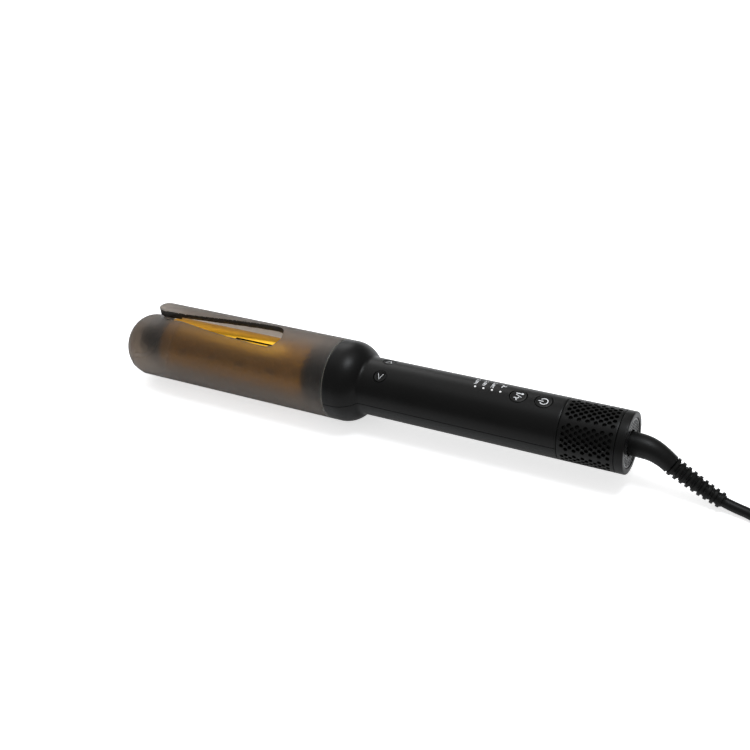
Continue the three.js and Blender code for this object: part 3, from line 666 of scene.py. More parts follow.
def make_tie():
    """A rubber strap round all the turns of the coil, its edges rounded."""
    loop = tie_loop()
    ahead = np.roll(loop, -1, axis=0) - np.roll(loop, 1, axis=0)
    ahead /= np.linalg.norm(ahead, axis=1)[:, None]
    out = np.column_stack([ahead[:, 1], -ahead[:, 0]])
    half = TIE_WIDTH / 2
    right = [(half - 0.25, 0), (half, 0.2), (half, TIE_THICKNESS - 0.3), (half - 0.3, TIE_THICKNESS)]
    section = right + [(-across, lift) for across, lift in reversed(right)]
    points = []
    for (r, z), normal in zip(loop, out):
        for across, lift in section:
            away = r + normal[0] * lift
            height = z + normal[1] * lift
            if normal[1] < -0.5:
                height = max(height, 0.0)
            x = COIL_X + away * math.cos(TIE_TURN) - across * math.sin(TIE_TURN)
            y = COIL_Y + away * math.sin(TIE_TURN) + across * math.cos(TIE_TURN)
            points.append((x, y, FLOOR_Z + height))
    made = mesh_object("coil_strap", points, grid(len(loop), len(section), True, True))
    return finished(made, "cord_rubber", replaces=["coil_tie"])


PLUG_RELIEF = 17
PLUG_LENGTH = 28
PLUG_EDGE = 1.2  # rounding of the face's edge
PLUG_SIDES = 48
RELIEF_RIBS = 5


def plug_section(along, half_width, half_height, power):
    """A ring across the plug: round at power 2, squarer above it."""
    ring = []
    for a in whole_turn(PLUG_SIDES):
        c, s = math.cos(a), math.sin(a)
        x = half_width * math.copysign(abs(c) ** (2 / power), c)
        z = half_height * math.copysign(abs(s) ** (2 / power), s)
        ring.append((PLUG_X + x, PLUG_Y + along, PLUG_Z + z))
    return ring


def make_plug():
    """Two-blade plug: ribbed strain relief, a grip that swells towards the face, and a rounded face."""
    rings = []
    for share in np.arange(61) / 60:
        groove = 0.5 - 0.5 * math.cos(2 * math.pi * RELIEF_RIBS * share)
        r = 3.9 + 1.0 * share - 0.75 * smoothstep((groove - 0.45) * 3) * (share < 0.96)
        rings.append(plug_section(share * PLUG_RELIEF, r, r, 2.0))
    for share in np.arange(1, 25) / 24:
        along = PLUG_RELIEF + share * (PLUG_LENGTH - PLUG_EDGE)
        swell = float(smoothstep(share / 0.42))
        waist = 0.7 * math.exp(-((share - 0.68) / 0.16) ** 2)
        half_width = 4.9 + 7.1 * swell - waist
        half_height = 4.9 + 2.6 * swell - waist
        rings.append(plug_section(along, half_width, half_height, 2 + 2.2 * swell))
    for turn in np.radians((25, 50, 70, 85)):
        along = PLUG_RELIEF + PLUG_LENGTH - PLUG_EDGE + PLUG_EDGE * math.sin(turn)
        inset = PLUG_EDGE * (1 - math.cos(turn))
        rings.append(plug_section(along, 12 - inset, 7.5 - inset, 4.2))
    made = mesh_object("plug_moulding", *tube(rings))
    return finished(made, "cord_rubber", replaces=["plug_body"])


BLADE_END_R = 2.2
BLADE_HOLE_R = 1.6


def make_blade(node):
    """A flat plug blade with a rounded end and its round hole."""
    (x0, x1), (y0, y1), (z0, z1) = (reach(node, axis) for axis in range(3))
    half = (z1 - z0) / 2
    middle = (z0 + z1) / 2
    outline = [(y0 - 2, z0), (y0 - 2, z1)]
    for turn in np.radians(np.linspace(90, -90, 13)):
        outline.append((y1 - BLADE_END_R + BLADE_END_R * math.cos(turn), middle + half * math.sin(turn)))
    hole = arc(BLADE_HOLE_R, 0, 345, (y1 - 4, middle), 24)
    made = mesh_object(node + "_plated", *plate(outline, x0, x1))
    boolean(made, "DIFFERENCE", [mesh_object("hole", *plate(hole, x0 - 1, x1 + 1))])
    bevel(made, 0.2)
    return finished(made, "brass", replaces=[node])


cord = make_cord()
cord_pieces = [make_boot(), make_tie(), make_plug(), make_blade("plug_blade_left"),
               make_blade("plug_blade_right")]
place([(END_X, 0, 0)])[0]


# ---- guard cover

TUCK_X = -272
DOME_X = -307.4
DOME_R = 22
DOME_POWER = 2.3
TUCK_ANGLE = math.radians(224)
TONGUE_EDGE = [(-294, 87), (-289, 86.4), (-274, 84.6), (-256, 79.8), (-221, 68.3), (-208, 65.2),
               (-203, 67), (-198.5, 76), (-195.5, 92)]
SLOT_EDGE = [(-303, 45), (-301, 70), (-298, 82), (-294, 90), (-289, 96), (-268, 101.8), (-247.5, 107),
             (-224, 110), (-205, 111.8), (-200, 109.5), (-197, 103), (-195.5, 94)]
TONGUE_TIP_X = -302
TONGUE_CORNER = 8
TONGUE_START_X = -294  # the tip's rounding ends here, and TONGUE_EDGE starts
RIB_START = -300.5
RIB_END = -200.2
RIB_HEIGHT = 1.3
RIB_TURN = 3.5  # degrees
HEEL_END = -281  # the rib is deeper from the tip to here
HEEL_HEIGHT = 3
CUTTER_R = (12, 40)  # radii between which a cutter for the slot lies
COVER_VOXEL = 0.5
PAINTED_HIGHLIGHT_RIM_WIDTH = 0.55  # unfrosted rim by the seam, painted a lighter grey as a painted highlight
COVER_SIDES = 192


def tuck(x):
    """Offset of the guard's centre line towards its straight side, and its radius, at x."""
    t = smoothstep((TUCK_X - x) / (TUCK_X - DOME_X))
    radius = COVER_R + (DOME_R - COVER_R) * t
    return COVER_R - radius, radius


def cover_body(start, wall):
    """The guard's outer surface, moved in by a wall, from the dome's tip to x = start."""
    tip = TIP_X + wall
    stations = [start, *np.linspace(TUCK_X, DOME_X, 19)]
    along = np.sin(np.radians(np.linspace(0, 90, 26)[1:-1]))
    stations += [DOME_X - (DOME_X - tip) * share for share in along]
    rings = []
    for x in stations:
        offset, radius = tuck(x)
        share = min(max((DOME_X - x) / (DOME_X - tip), 0), 1)
        r = (radius - wall) * (1 - share ** DOME_POWER) ** (1 / DOME_POWER)
        y = offset * math.cos(TUCK_ANGLE)
        z = offset * math.sin(TUCK_ANGLE)
        rings.append([(x, y + r * math.cos(a), z + r * math.sin(a)) for a in whole_turn(COVER_SIDES)])
    return tube(rings)


def slot_stations(start, end, count, near):
    return [(x, near(x), follow(SLOT_EDGE, x)) for x in np.linspace(start, end, count)]


def tip_rounding(x):
    into = min((x - TONGUE_TIP_X) / TONGUE_CORNER, 1)
    return math.sqrt(1 - (1 - into) ** 2)


def tongue_edge(x):
    """Where the tongue ends towards the slot, in degrees round the tool."""
    return 73 + 14 * tip_rounding(x) if x < TONGUE_START_X else follow(TONGUE_EDGE, x)


def tongue_stations():
    return [(x, 13 - 12.5 * tip_rounding(x), tongue_edge(x)) for x in np.linspace(TONGUE_TIP_X, -273, 60)]


def rib(end, height):
    """The tongue's turned-down edge, which keeps the strand of hair in the slot."""
    edge = [(x, tongue_edge(x) - RIB_TURN, tongue_edge(x) - 0.06) for x in np.linspace(RIB_START, end, 60)]
    return mesh_object("rib", *slab(edge, COVER_R - COVER_WALL - height, COVER_R - 0.8, 6))


def cover_distance(points, wall):
    """Signed distance, to first order, from the cover's outer surface moved in by a wall."""

    def level(p):
        offset, radius = tuck(p[:, 0])
        y = p[:, 1] - offset * math.cos(TUCK_ANGLE)
        z = p[:, 2] - offset * math.sin(TUCK_ANGLE)
        share = np.clip((DOME_X - p[:, 0]) / (DOME_X - TIP_X - wall), 0, None)
        across = np.hypot(y, z) / (radius - wall)
        return (share ** DOME_POWER + across ** DOME_POWER) ** (1 / DOME_POWER) - 1

    small = 1e-3
    here = level(points)
    slope = np.column_stack([(level(points + small * axis) - here) / small for axis in np.eye(3)])
    steep = np.maximum(np.linalg.norm(slope, axis=1), 1e-6)
    return here / steep, slope / steep[:, None]


def snap_cover(made):
    """Puts remeshed points that lie by the cover's true surfaces exactly on them."""
    mesh = made.data
    points = np.empty(len(mesh.vertices) * 3)
    mesh.vertices.foreach_get("co", points)
    points = (points.reshape(-1, 3) - np.array(ORIGIN)) / MM
    near = 0.6 * COVER_VOXEL
    for wall in (0, COVER_WALL):
        for _ in range(2):
            away, normal = cover_distance(points, wall)
            move = np.abs(away) < near
            points[move] -= away[move, None] * normal[move]
    on_tongue = points[:, 0] < TUCK_X - 1
    for radius in (COVER_R, COVER_R - COVER_WALL):
        r = np.hypot(points[:, 1], points[:, 2])
        move = on_tongue & (np.abs(r - radius) < near)
        points[move, 1:] *= (radius / r[move])[:, None]
    mesh.vertices.foreach_set("co", place(points).ravel())
    mesh.update()


def cover_painted_light(face, x, y, z):
    """1 for the painted highlight on the rim by the seam, 2 for the painted shade on the tongue's cut edge
    and its rib, 0 elsewhere.
    """
    if x > SEAM_X - PAINTED_HIGHLIGHT_RIM_WIDTH:
        return 1
    if not RIB_START - 1 < x < RIB_END + 1.2:
        return 0
    r = math.hypot(y, z)
    past_edge = math.degrees(math.atan2(z, y)) - tongue_edge(x)
    outward = (face.normal.y * y + face.normal.z * z) / r
    # Faces of the tongue's cut edge and of its rib get the painted shade.
    painted_shade_on_edge = abs(past_edge) < 0.9 and abs(outward) < 0.6
    painted_shade_on_rib = -RIB_TURN - 0.5 < past_edge < 0.7 and r < COVER_R - COVER_WALL - 0.3
    return 2 if painted_shade_on_edge or painted_shade_on_rib else 0


def make_cover():
    """The guard: a domed tube with the slot cut out and the tongue put back, remeshed to one skin."""
    made = mesh_object("guard_cover_moulding", *cover_body(SEAM_X, 0))
    hollow = mesh_object("hollow", *cover_body(SEAM_X + 1, COVER_WALL))
    beside = slab(slot_stations(-274, -195.7, 90, lambda x: follow(TONGUE_EDGE, x)), *CUTTER_R, 30)
    under = slab(slot_stations(-302.6, -273.5, 60, lambda x: 2), *CUTTER_R, 40)
    cutters = [mesh_object("slot_beside", *beside), mesh_object("slot_under", *under)]
    boolean(made, "DIFFERENCE", [hollow, *cutters])
    tongue = mesh_object("tongue", *slab(tongue_stations(), COVER_R - COVER_WALL, COVER_R, 60))
    for part in (tongue, rib(RIB_END, RIB_HEIGHT), rib(HEEL_END, HEEL_HEIGHT)):
        boolean(made, "UNION", [part])
    step = made.modifiers.new("remesh", "REMESH")
    step.mode = "VOXEL"
    step.voxel_size = COVER_VOXEL * MM
    settle(made)
    snap_cover(made)
    finished(made, "smoke_cover", replaces=["guard_cover"], sharp=180)
    # Paints a highlight on the rim by the seam, and shade on the tongue's cut edge and its rib.
    return recolour(made, [COVER_RIM_PAINTED_HIGHLIGHT, COVER_CUT_PAINTED_SHADE], cover_painted_light)


make_cover()


# ---- barrel

SHAFT_R = 8
BARREL_WALL = 1.5
BARREL_VENT_ANGLE = 152
BARREL_VENT_X = (-270.9, -247.5, -223.6, -199.9)
BARREL_VENT_SIZE = (3.5, 3)  # half its length in millimetres, half its width in degrees
BARREL_GROOVE = [(-234, 92, 97), (-204, 92, 97)]
RECESS_DEPTH = 1.1
CAP_R = 17
CAP_TAPER = 15.5
NOSE_R = 14


def make_barrel():
    """The gold barrel, with four vents and a groove that are shallow, with painted shade inside them."""
    start, end = BARREL_X
    inner = BARREL_R - BARREL_WALL
    profile = [(start, inner, 0.2), (start, BARREL_R, 0.5)]
    profile += [(x, BARREL_R, 0) for x in np.linspace(start + 5, end - 5, 24)]
    profile += [(end, BARREL_R, 0.5), (end, inner, 0.2)]
    made = turned("barrel_tube", profile, segments=192)
    floor_r = BARREL_R - RECESS_DEPTH
    half_length, half_angle = BARREL_VENT_SIZE
    low, high = BARREL_VENT_ANGLE - half_angle, BARREL_VENT_ANGLE + half_angle
    recesses = [slab([(x - half_length, low, high), (x + half_length, low, high)], floor_r, 20, 4)
                for x in BARREL_VENT_X]
    recesses.append(slab(BARREL_GROOVE, floor_r, 20, 2))
    boolean(made, "DIFFERENCE", [joined("recesses", recesses)])
    finished(made, "gold_barrel", "barrel", ["curl_barrel"])

    # Faces inside the vents and groove, which get the painted shade.
    def painted_shade_in_recess(face, x, y, z):
        return int(start + 3 < x < end - 3 and floor_r - 0.05 < math.hypot(y, z) < BARREL_R - 0.04)

    return recolour(made, [RECESS_PAINTED_SHADE], painted_shade_in_recess)


def make_tip_cap():
    start = BARREL_X[0] - GAP
    inner = BARREL_R - BARREL_WALL - GAP
    waist = start - CAP_TAPER
    length = waist - reach("barrel_tip_cap")[0]
    nose = [(waist - length * math.cos(t), NOSE_R * math.sin(t), 0)
            for t in np.radians(np.linspace(0, 84, 22))]
    profile = [*nose, (waist + 2, NOSE_R + 0.4, 2), (start, CAP_R, 0.5), (start, inner, 0),
               (start + 4, inner, 0.4), (start + 4, 0, 0)]
    made = turned("tip_cap_moulding", profile)
    return finished(made, "dark_plastic", "barrel", ["barrel_tip_cap"])


def make_collar():
    """Collar round the barrel's root, with two shallow grooves."""
    front, back = reach("base_collar")
    r = reach("base_collar", 2)[1]
    profile = [(front, BARREL_R - 6, 0.3), (front, r, 0.8)]
    for x in (front + 3.6, front + 7.2):
        for along, depth in ((-0.5, 0), (-0.3, 0.5), (0.3, 0.5), (0.5, 0)):
            profile.append((x + along, r - depth, 0.15))
    profile += [(back, r, 0.4), (back, SHAFT_R + 0.6, 0.2), (front + 3.6, SHAFT_R + 0.6, 0.2),
                (front + 3.6, BARREL_R - 6, 0.2)]
    made = turned("collar_moulding", profile, 3)
    return finished(made, "dark_plastic", "body", ["base_collar"])


def make_hub():
    face = BARREL_X[1] + GAP
    tail = reach("barrel_hub")[1]
    spigot = BARREL_R - BARREL_WALL - GAP
    profile = [(face - 6, 3, 0), (face - 6, spigot, 0.4), (face, spigot, 0), (face, BARREL_R, 0.4),
               (face + 3.4, BARREL_R, 0.6), (face + 3.4, SHAFT_R, 0.3), (tail, SHAFT_R, 0.4), (tail, 3, 0.2)]
    made = turned("hub_turning", profile)
    return finished(made, "dark_plastic", "barrel", ["barrel_hub"])


make_barrel()
make_tip_cap()
make_collar()
make_hub()


# ---- handle shells

PARTING_Z = 0.8
SHOULDER_R = 18
SHOULDER_X = -148.7
NECK_X = -133.9
POWER_X = -13.2
TEMPERATURE_X = -29.3
DIRECTION_X = -120.2
DIRECTION_TILT = 22.5
BUTTON_R = 5.25
DIRECTION_R = 4.0
LIGHT_X = (-57.6, -52.1, -46.5, -41)
SCREW_X = (-68, -3.9)
SHELL_COLUMNS = 120
SHELL_END = -GAP + 0.05
SHOULDER_WALL = 2.3
SHOULDER_LOWEST = 39.5  # degrees on the shoulder's circle where it gives way to the neck
EASE = 0.22  # of the edges along the parting plane
BOSS_R = 2.8
LIGHT_R = 0.85


def shell_profile():
    """Outside of the handle from the cover's seam to the sleeve's seam, as (x, radius) points."""
    start = SEAM_X - SHELL_END
    centre_r = COVER_R - SHOULDER_R
    points = [(start, COVER_R - 0.35), (start + 0.1, COVER_R - 0.1), (start + 0.35, COVER_R)]
    points += [(x, COVER_R) for x in np.linspace(start + 1.5, SHOULDER_X - 0.6, 5)]
    points += arc(SHOULDER_R, 90, SHOULDER_LOWEST, (SHOULDER_X, centre_r), 30)
    a = np.array(points[-1])
    slope = math.radians(SHOULDER_LOWEST)
    down = np.array([math.sin(slope), -math.cos(slope)])
    corner = a + down * (a[1] - HANDLE_R) / math.cos(slope)
    b = np.array([corner[0] + 2.2, HANDLE_R])
    for t in np.linspace(0, 1, 9)[1:]:
        points.append(tuple((1 - t) ** 2 * a + 2 * t * (1 - t) * corner + t * t * b))
    points += [(x, HANDLE_R) for x in np.linspace(b[0] + 3, -1.6, 34)]
    points += [(SHELL_END - 0.35, HANDLE_R), (SHELL_END - 0.1, HANDLE_R - 0.1), (SHELL_END, HANDLE_R - 0.35)]
    return points


def shell_inside():
    """Inside of the handle, as (x, radius) points back from the sleeve's seam to the cover's seam."""
    centre_r = COVER_R - SHOULDER_R
    inner = SHOULDER_R - SHOULDER_WALL
    lowest = math.asin((HANDLE_R - WALL - centre_r) / inner)
    points = [(SHELL_END, HANDLE_R - WALL), (NECK_X + 1, HANDLE_R - WALL)]
    points += arc(inner, math.degrees(lowest + 0.05), 90, (SHOULDER_X, centre_r), 10)
    points.append((SEAM_X - SHELL_END, COVER_R - SHOULDER_WALL))
    return points


def half_shell(name, upper):
    """Half of the handle, its edge along the parting plane eased to leave a fine line."""
    plane = PARTING_Z + (0.07 if upper else -0.07)
    outside = shell_profile()
    profile = [(x, r, True) for x, r in outside] + [(x, r, False) for x, r in shell_inside()]
    points = []
    for x, r, outer in profile:
        low = math.asin(plane / r)
        high = math.pi - low if upper else -math.pi - low
        step = EASE / r * (1 if upper else -1)
        angles = np.concatenate([[low], np.linspace(low + step, high - step, SHELL_COLUMNS - 1), [high]])
        for k, a in enumerate(angles):
            eased = r - EASE * outer * (k in (0, len(angles) - 1))
            points.append((x, eased * math.cos(a), eased * math.sin(a)))
    columns = SHELL_COLUMNS + 1
    rows = len(profile)
    faces = grid(rows, columns, True, False)
    faces.append(tuple(i * columns for i in range(rows)))
    faces.append(tuple(i * columns + columns - 1 for i in range(rows)))
    return mesh_object(name, points, faces)


def well(x, r, tilt=0):
    """Cutter for a button's hole, with its rim eased."""
    profile = [(10, 0), (10, r + 0.2), (HANDLE_R - 0.75, r + 0.2), (HANDLE_R + 0.1, r + 0.55),
               (26, r + 0.6), (26, 0)]
    return post(x, profile, tilt, 72)


def make_upper_shell():
    made = half_shell("upper_shell_moulding", True)
    bosses = [post(x, rod(-0.9, HANDLE_R - WALL + 0.6, BOSS_R)) for x in SCREW_X]
    boolean(made, "UNION", [joined("bosses", bosses)])
    light = [(12, 0), (12, LIGHT_R), (HANDLE_R - 0.15, LIGHT_R), (HANDLE_R + 0.1, 1.0), (25, 1.0), (25, 0)]
    cutters = [well(POWER_X, BUTTON_R), well(TEMPERATURE_X, BUTTON_R)]
    cutters += [post(x, light, 0, 32) for x in LIGHT_X]
    cutters += [post(x, rod(-3, 8, 1.3)) for x in SCREW_X]
    side_wells = [well(DIRECTION_X, DIRECTION_R, side * DIRECTION_TILT) for side in (1, -1)]
    boolean(made, "DIFFERENCE", [joined("wells", cutters), joined("side_wells", side_wells)])
    return finished(made, "black_plastic", "body", ["handle_upper_shell"], sharp=38)


def make_lower_shell():
    made = half_shell("lower_shell_moulding", False)
    bosses = [post(x, rod(WALL - HANDLE_R - 0.6, -1.3, BOSS_R)) for x in SCREW_X]
    boolean(made, "UNION", [joined("bosses", bosses)])
    hole = [(-25, 0), (-25, 2.8), (-HANDLE_R - 0.1, 2.7), (-HANDLE_R + 0.3, 2.3), (-8, 2.3),
            (-8, 1.4), (0, 1.4), (0, 0)]
    boolean(made, "DIFFERENCE", [joined("screw_holes", [post(x, hole) for x in SCREW_X])])
    return finished(made, "black_plastic", "body", ["handle_lower_shell"], sharp=38)


make_upper_shell()
make_lower_shell()


# ---- buttons and printed marks

MARK_LIFT = 0.05  # over a button's face and under it
SKIN_LIFT = (-0.05, 0.03)  # under the handle's surface and over it
MARK_WIDTH = 0.52
DISH = 0.18  # depth of a button's face below its rim
BUTTON_TOP = 18.75
DIRECTION_TOP = 18.85
CHEVRON = [(-1.75, 1.8), (-0.88, -0.1), (0, -2.0), (0.88, -0.1), (1.75, 1.8)]
LABEL_ANGLE = 73.5
LABEL_SHIFT = -0.8  # along the tool, from its light
LABEL_SIZE = 2.8
FAN_LABEL_ANGLE = 71.5


def stroke(line, width, where):
    """A printed line: a thin ribbon along 2-D points, with round ends, that where(u, v, layer) places."""
    line = np.array(line, float)
    ahead = np.gradient(line, axis=0)
    ahead /= np.linalg.norm(ahead, axis=1)[:, None]
    side = np.column_stack([-ahead[:, 1], ahead[:, 0]]) * width / 2
    ends = []
    for at, forward, across in ((line[0], -ahead[0], side[0]), (line[-1], ahead[-1], side[-1])):
        some = []
        for turn in np.radians((30, 60, 85)):
            centre = at + forward * width / 2 * math.sin(turn)
            some.append((centre + across * math.cos(turn), centre - across * math.cos(turn)))
        ends.append(some)
    pairs = [*reversed(ends[0]), *((p + s, p - s) for p, s in zip(line, side)), *ends[1]]
    return tube([[where(*left, 1), where(*right, 1), where(*right, 0), where(*left, 0)]
                 for left, right in pairs])


def fan_strokes(centre, size, turn):
    """Three curved blades, each as a line and its width."""
    strokes = []
    for blade in range(3):
        a = math.radians(turn + 120 * blade)
        line = []
        for t in np.linspace(0.12, 1, 6):
            bend = a + 0.55 * t * t
            line.append((centre[0] + size * t * math.cos(bend), centre[1] + size * t * math.sin(bend)))
        strokes.append((line, size * 0.34))
    return strokes


def face_of(x, height, tilt=0):
    """Puts marks on a flat face: u along the tool, v across it, layer 1 over the face and 0 under it."""
    return lambda u, v, layer: on_post(x, tilt, u, v, height + (MARK_LIFT if layer else -MARK_LIFT))


def skin_of(x, angle):
    """Puts marks on the handle: u along the tool, v round it towards smaller angles."""

    def where(u, v, layer):
        r = HANDLE_R + SKIN_LIFT[layer]
        a = math.radians(angle) - v / HANDLE_R
        return (x + u, r * math.cos(a), r * math.sin(a))

    return where


def marks(name, strokes, where, body):
    made = joined(name, [stroke(line, width, where) for line, width in strokes])
    return finished(made, "white_print", body)


def button(name, node, x, r, top, tilt=0):
    """A dished round button, its rim eased, on the stem and flange of its CAD solid."""
    flange, tip = (15.2, 13.9) if tilt else (15, 12.2)
    dish = top - DISH
    profile = [(tip, 0), (tip, 1.5), (flange - 1, 1.5), (flange - 1, r + 0.9), (flange, r + 0.9),
               (flange, r), (top - 0.45, r), (top - 0.2, r - 0.07), (top - 0.06, r - 0.2),
               (top, r - 0.42), (top - 0.03, r - 0.62), (top - 0.14, r - 0.95), (dish, r - 1.3), (dish, 0)]
    made = mesh_object(name, *post(x, profile, tilt, 72))
    return finished(made, "black_plastic", node, [node], sharp=40)


def make_controls():
    button("power_button_cap", "power_button", POWER_X, BUTTON_R, BUTTON_TOP)
    power = [(arc(2.4, -142, 142), MARK_WIDTH), ([(-0.45, 0), (-1.8, 0), (-3.2, 0)], MARK_WIDTH)]
    marks("power_symbol", power, face_of(POWER_X, BUTTON_TOP - DISH), "power_button")

    button("temperature_button_cap", "temperature_button", TEMPERATURE_X, BUTTON_R, BUTTON_TOP)
    thermometer = [([(-1.9, 2.3), (-0.6, 2.3), (0.8, 2.3)], 0.7),
                   ([(1.3, 2.3), (1.6, 2.3), (1.9, 2.3)], 1.3)]
    divider = [([(-1.8, 1.1), (0.1, 0.3), (2.0, -0.5)], 0.36)]
    symbol = thermometer + divider + fan_strokes((-0.6, -2.0), 1.6, 20)
    marks("temperature_symbol", symbol, face_of(TEMPERATURE_X, BUTTON_TOP - DISH), "temperature_button")

    for node, side in (("forward_button", 1), ("reverse_button", -1)):
        tilt = side * DIRECTION_TILT
        button(node + "_cap", node, DIRECTION_X, DIRECTION_R, DIRECTION_TOP, tilt)
        chevron = [(u, v * side) for u, v in CHEVRON]
        marks(node + "_symbol", [(chevron, 0.28)], face_of(DIRECTION_X, DIRECTION_TOP - DISH, tilt), node)


def number_shape(text, size, where):
    """A printed number in the built-in font, given a little thickness."""
    data = bpy.data.curves.new("digits", "FONT")
    data.body = text
    data.size = size
    data.align_x = "CENTER"
    data.align_y = "CENTER"
    data.resolution_u = 3
    data.offset = 0.03  # makes the digits bolder
    carrier = new_object("digits", data)
    graph = bpy.context.evaluated_depsgraph_get()
    flat = bpy.data.meshes.new_from_object(carrier.evaluated_get(graph))
    solid = bmesh.new()
    solid.from_mesh(flat)
    bmesh.ops.remove_doubles(solid, verts=solid.verts, dist=1e-5)
    extruded = bmesh.ops.extrude_face_region(solid, geom=list(solid.faces))
    for vertex in (v for v in extruded["geom"] if isinstance(v, bmesh.types.BMVert)):
        vertex.co.z = 1
    solid.verts.index_update()
    points = [where(-v.co.y, v.co.x, v.co.z > 0.5) for v in solid.verts]
    faces = [[v.index for v in face.verts] for face in solid.faces]
    solid.free()
    bpy.data.objects.remove(carrier)
    return points, faces


def make_labels():
    """Three heat settings and the cool setting, printed beside the four lights."""
    for x, heat in zip(LIGHT_X[:3], ("160", "180", "200")):
        text = number_shape(heat + "°C", LABEL_SIZE, skin_of(x + LABEL_SHIFT, LABEL_ANGLE))
        finished(joined("label_" + heat, [text]), "white_print")
    marks("label_cool", fan_strokes((0, 0), 1.8, 100), skin_of(LIGHT_X[3] - 0.2, FAN_LABEL_ANGLE), "body")


make_controls()
make_labels()


# ---- vented sleeve and cord end

VENT_FIELDS = 6
VENT_ROWS = 9
VENT_ROW_TURN = 5.69
VENT_R = 1.175
VENT_LONG_ROW = (5.9, 11.0, 16.1, 21.0, 26.1, 31.2)
VENT_SHORT_ROW = (3.3, 8.4, 13.4, 18.4, 23.5, 28.6)
SLEEVE_WALL = 1.6
END_FACE_R = 18.1
GRILLE_R = 15.4
GRILLE_SEGMENTS = 96
SLAT_OPENING = 1.3


def make_sleeve():
    inner = HANDLE_R - SLEEVE_WALL
    profile = [(0, inner, 0.1), (0, HANDLE_R, 0.35)]
    profile += [(x, HANDLE_R, 0) for x in np.linspace(1.5, SLEEVE_END_X - 1.5, 9)]
    profile += [(SLEEVE_END_X, HANDLE_R, 0.35), (SLEEVE_END_X, inner, 0.1)]
    made = turned("vented_sleeve_moulding", profile, 3, 180)
    bore = [(15, 0), (15, VENT_R), (HANDLE_R - 0.28, VENT_R), (HANDLE_R + 0.1, VENT_R + 0.3),
            (22, VENT_R + 0.3), (22, 0)]
    vents = []
    for field in range(VENT_FIELDS):
        for row in range(VENT_ROWS):
            tilt = 360 / VENT_FIELDS * field + VENT_ROW_TURN * (row - (VENT_ROWS - 1) / 2)
            vents += [post(x, bore, tilt, 16) for x in (VENT_SHORT_ROW if row % 2 else VENT_LONG_ROW)]
    boolean(made, "DIFFERENCE", [joined("vents", vents)])
    return finished(made, "black_plastic", "body", ["vent_sleeve"], sharp=30)


def make_end_cap():
    face = SLEEVE_END_X + GAP
    screen_r = HANDLE_R - SLEEVE_WALL - GAP
    profile = [(face - 3, GRILLE_R, 0.1), (face - 3, screen_r - 0.8, 0.1), (face, screen_r - 0.8, 0),
               (face, HANDLE_R, 0.35), (END_X - 0.2, HANDLE_R, 0.9), (END_X, END_FACE_R, 0.35),
               (END_X, GRILLE_R, 0.4)]
    made = turned("end_cap_moulding", profile, 6, 192)
    return finished(made, "black_plastic", "body", ["end_cap"])


def cuboid(x0, x1, y0, y1, z0, z1):
    points = [(x, y, z) for x in (x0, x1) for y in (y0, y1) for z in (z0, z1)]
    faces = [(0, 1, 3, 2), (4, 5, 7, 6), (0, 1, 5, 4), (2, 3, 7, 6), (0, 2, 6, 4), (1, 3, 7, 5)]
    return points, faces


def make_grille():
    """Recessed round grille: parallel slats in a rim, and a collar round the boot."""
    back = END_X - 3.2
    outer = GRILLE_R - GAP
    disc = [(back, 0, 0), (back, outer, 0.2), (END_X - 0.7, outer, 0.2), (END_X - 0.7, 0, 0)]
    made = turned("end_grille_moulding", disc, 3, GRILLE_SEGMENTS)
    openings = [cuboid(END_X - 6, END_X, -20, 20, z - SLAT_OPENING / 2, z + SLAT_OPENING / 2)
                for z in np.linspace(-13.2, 13.2, 12)]
    boolean(made, "DIFFERENCE", [joined("openings", openings)])
    bevel(made, 0.18)
    bore = rod(END_X - 6, END_X + 2, BOOT_R + 1)
    boolean(made, "DIFFERENCE", [mesh_object("bore", *lathe(bore, GRILLE_SEGMENTS))])
    rim = [(back, outer - 1.1, 0.2), (back, outer, 0.2), (END_X - 0.5, outer, 0.3),
           (END_X - 0.5, outer - 1.1, 0.3)]
    collar = [(back, BOOT_R + 0.2, 0.1), (back, BOOT_R + 1.8, 0.2), (END_X - 1.0, BOOT_R + 1.8, 0.4),
              (END_X - 1.0, BOOT_R + 0.2, 0.3)]
    boolean(made, "UNION", [turned("rim", rim, segments=GRILLE_SEGMENTS),
                            turned("collar", collar, segments=GRILLE_SEGMENTS)])
    return finished(made, "black_plastic", "body", ["end_grille"], material="grille_gloss")


make_sleeve()
make_end_cap()
make_grille()


# ---- stage

FLOOR_CORNERS = [(-6, -6, 0), (6, -6, 0), (6, 6, 0), (-6, 6, 0)]  # metres
FLOOR_DROP = -0.0002
FLOOR_GLOW = (0.2, 0.65)  # for other light paths, and as the camera sees it


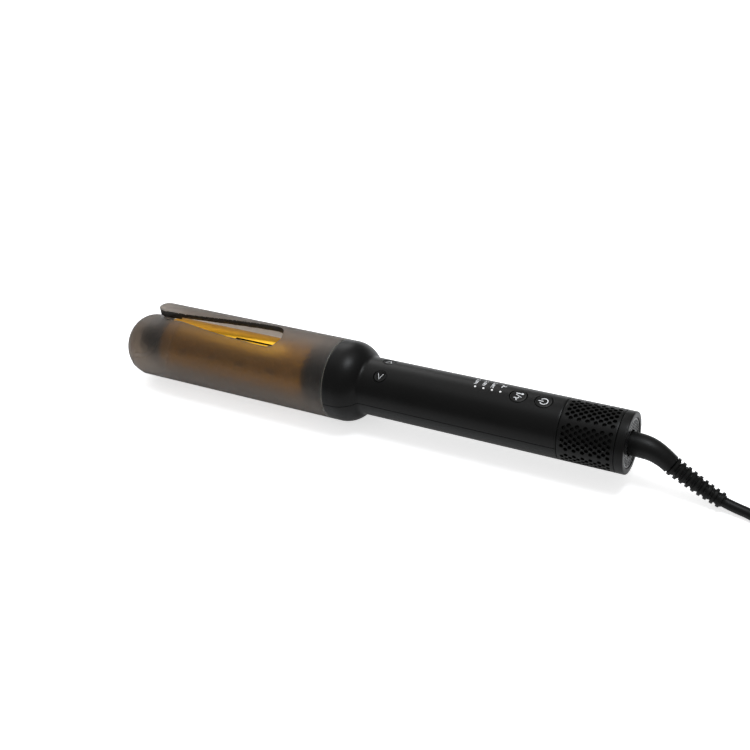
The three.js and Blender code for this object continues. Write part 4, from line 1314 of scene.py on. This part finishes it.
def make_floor():
    """A pale table that glows a little, so that shadows on it stay light."""
    material, tree, shader = node_tree("pale_floor")
    seen = add(tree, "LightPath", {}).outputs["Is Camera Ray"]
    fill(tree, shader, {
        "Base Color": two_tone(tree, noise(tree, 3), (0.93, 0.93, 0.93), (0.94, 0.94, 0.94)),
        "Roughness": 0.9,
        "Specular IOR Level": 0.1,
        "Emission Color": WHITE,
        "Emission Strength": between(tree, seen, *FLOOR_GLOW),
    })
    mesh = bpy.data.meshes.new("floor")
    mesh.from_pydata(FLOOR_CORNERS, [], [(0, 1, 2, 3)])
    mesh.materials.append(material)
    floor = new_object("floor", mesh)
    floor.location.z = FLOOR_DROP


def area_light(name, place_at, size, power, colour=(1, 1, 1)):
    """A soft light that points at the frame's origin."""
    data = bpy.data.lights.new(name, "AREA")
    data.shape = "RECTANGLE"
    data.size, data.size_y = size
    data.energy = power
    data.color = colour
    lamp = new_object(name, data)
    lamp.location = place_at
    lamp.rotation_mode = "QUATERNION"
    lamp.rotation_quaternion = (-Vector(place_at)).to_track_quat("-Z", "Y")


def math_node(tree, operation, value, other):
    node = add(tree, "Math", {0: value, 1: other})
    node.operation = operation
    return node.outputs["Value"]


def make_world():
    """White as the camera sees it, but lighting dimly from the horizon, so that black parts look black."""
    world = bpy.data.worlds.new("studio")
    scene.world = world
    world.use_nodes = True
    tree = world.node_tree
    direction = add(tree, "TexCoord", {}).outputs["Generated"]
    height = add(tree, "SeparateXYZ", {"Vector": direction}).outputs["Z"]
    steep = math_node(tree, "POWER", math_node(tree, "MAXIMUM", height, 0), 2)
    seen = add(tree, "LightPath", {}).outputs["Is Camera Ray"]
    strength = between(tree, seen, between(tree, steep, 0.25, 0.6), 1)
    fill(tree, tree.nodes["Background"], {"Color": WHITE, "Strength": strength})


def make_lights():
    area_light("overhead", (-0.1, 0.35, 1.3), (1.6, 1.0), 3)
    area_light("key", (0.3, 0.12, 1.3), (0.45, 0.45), 8, (0.92, 0.96, 1.0))
    area_light("back", (-1.0, 1.1, 0.8), (1.4, 0.8), 8)


make_floor()
make_world()
make_lights()
scene.view_settings.view_transform = "Standard"
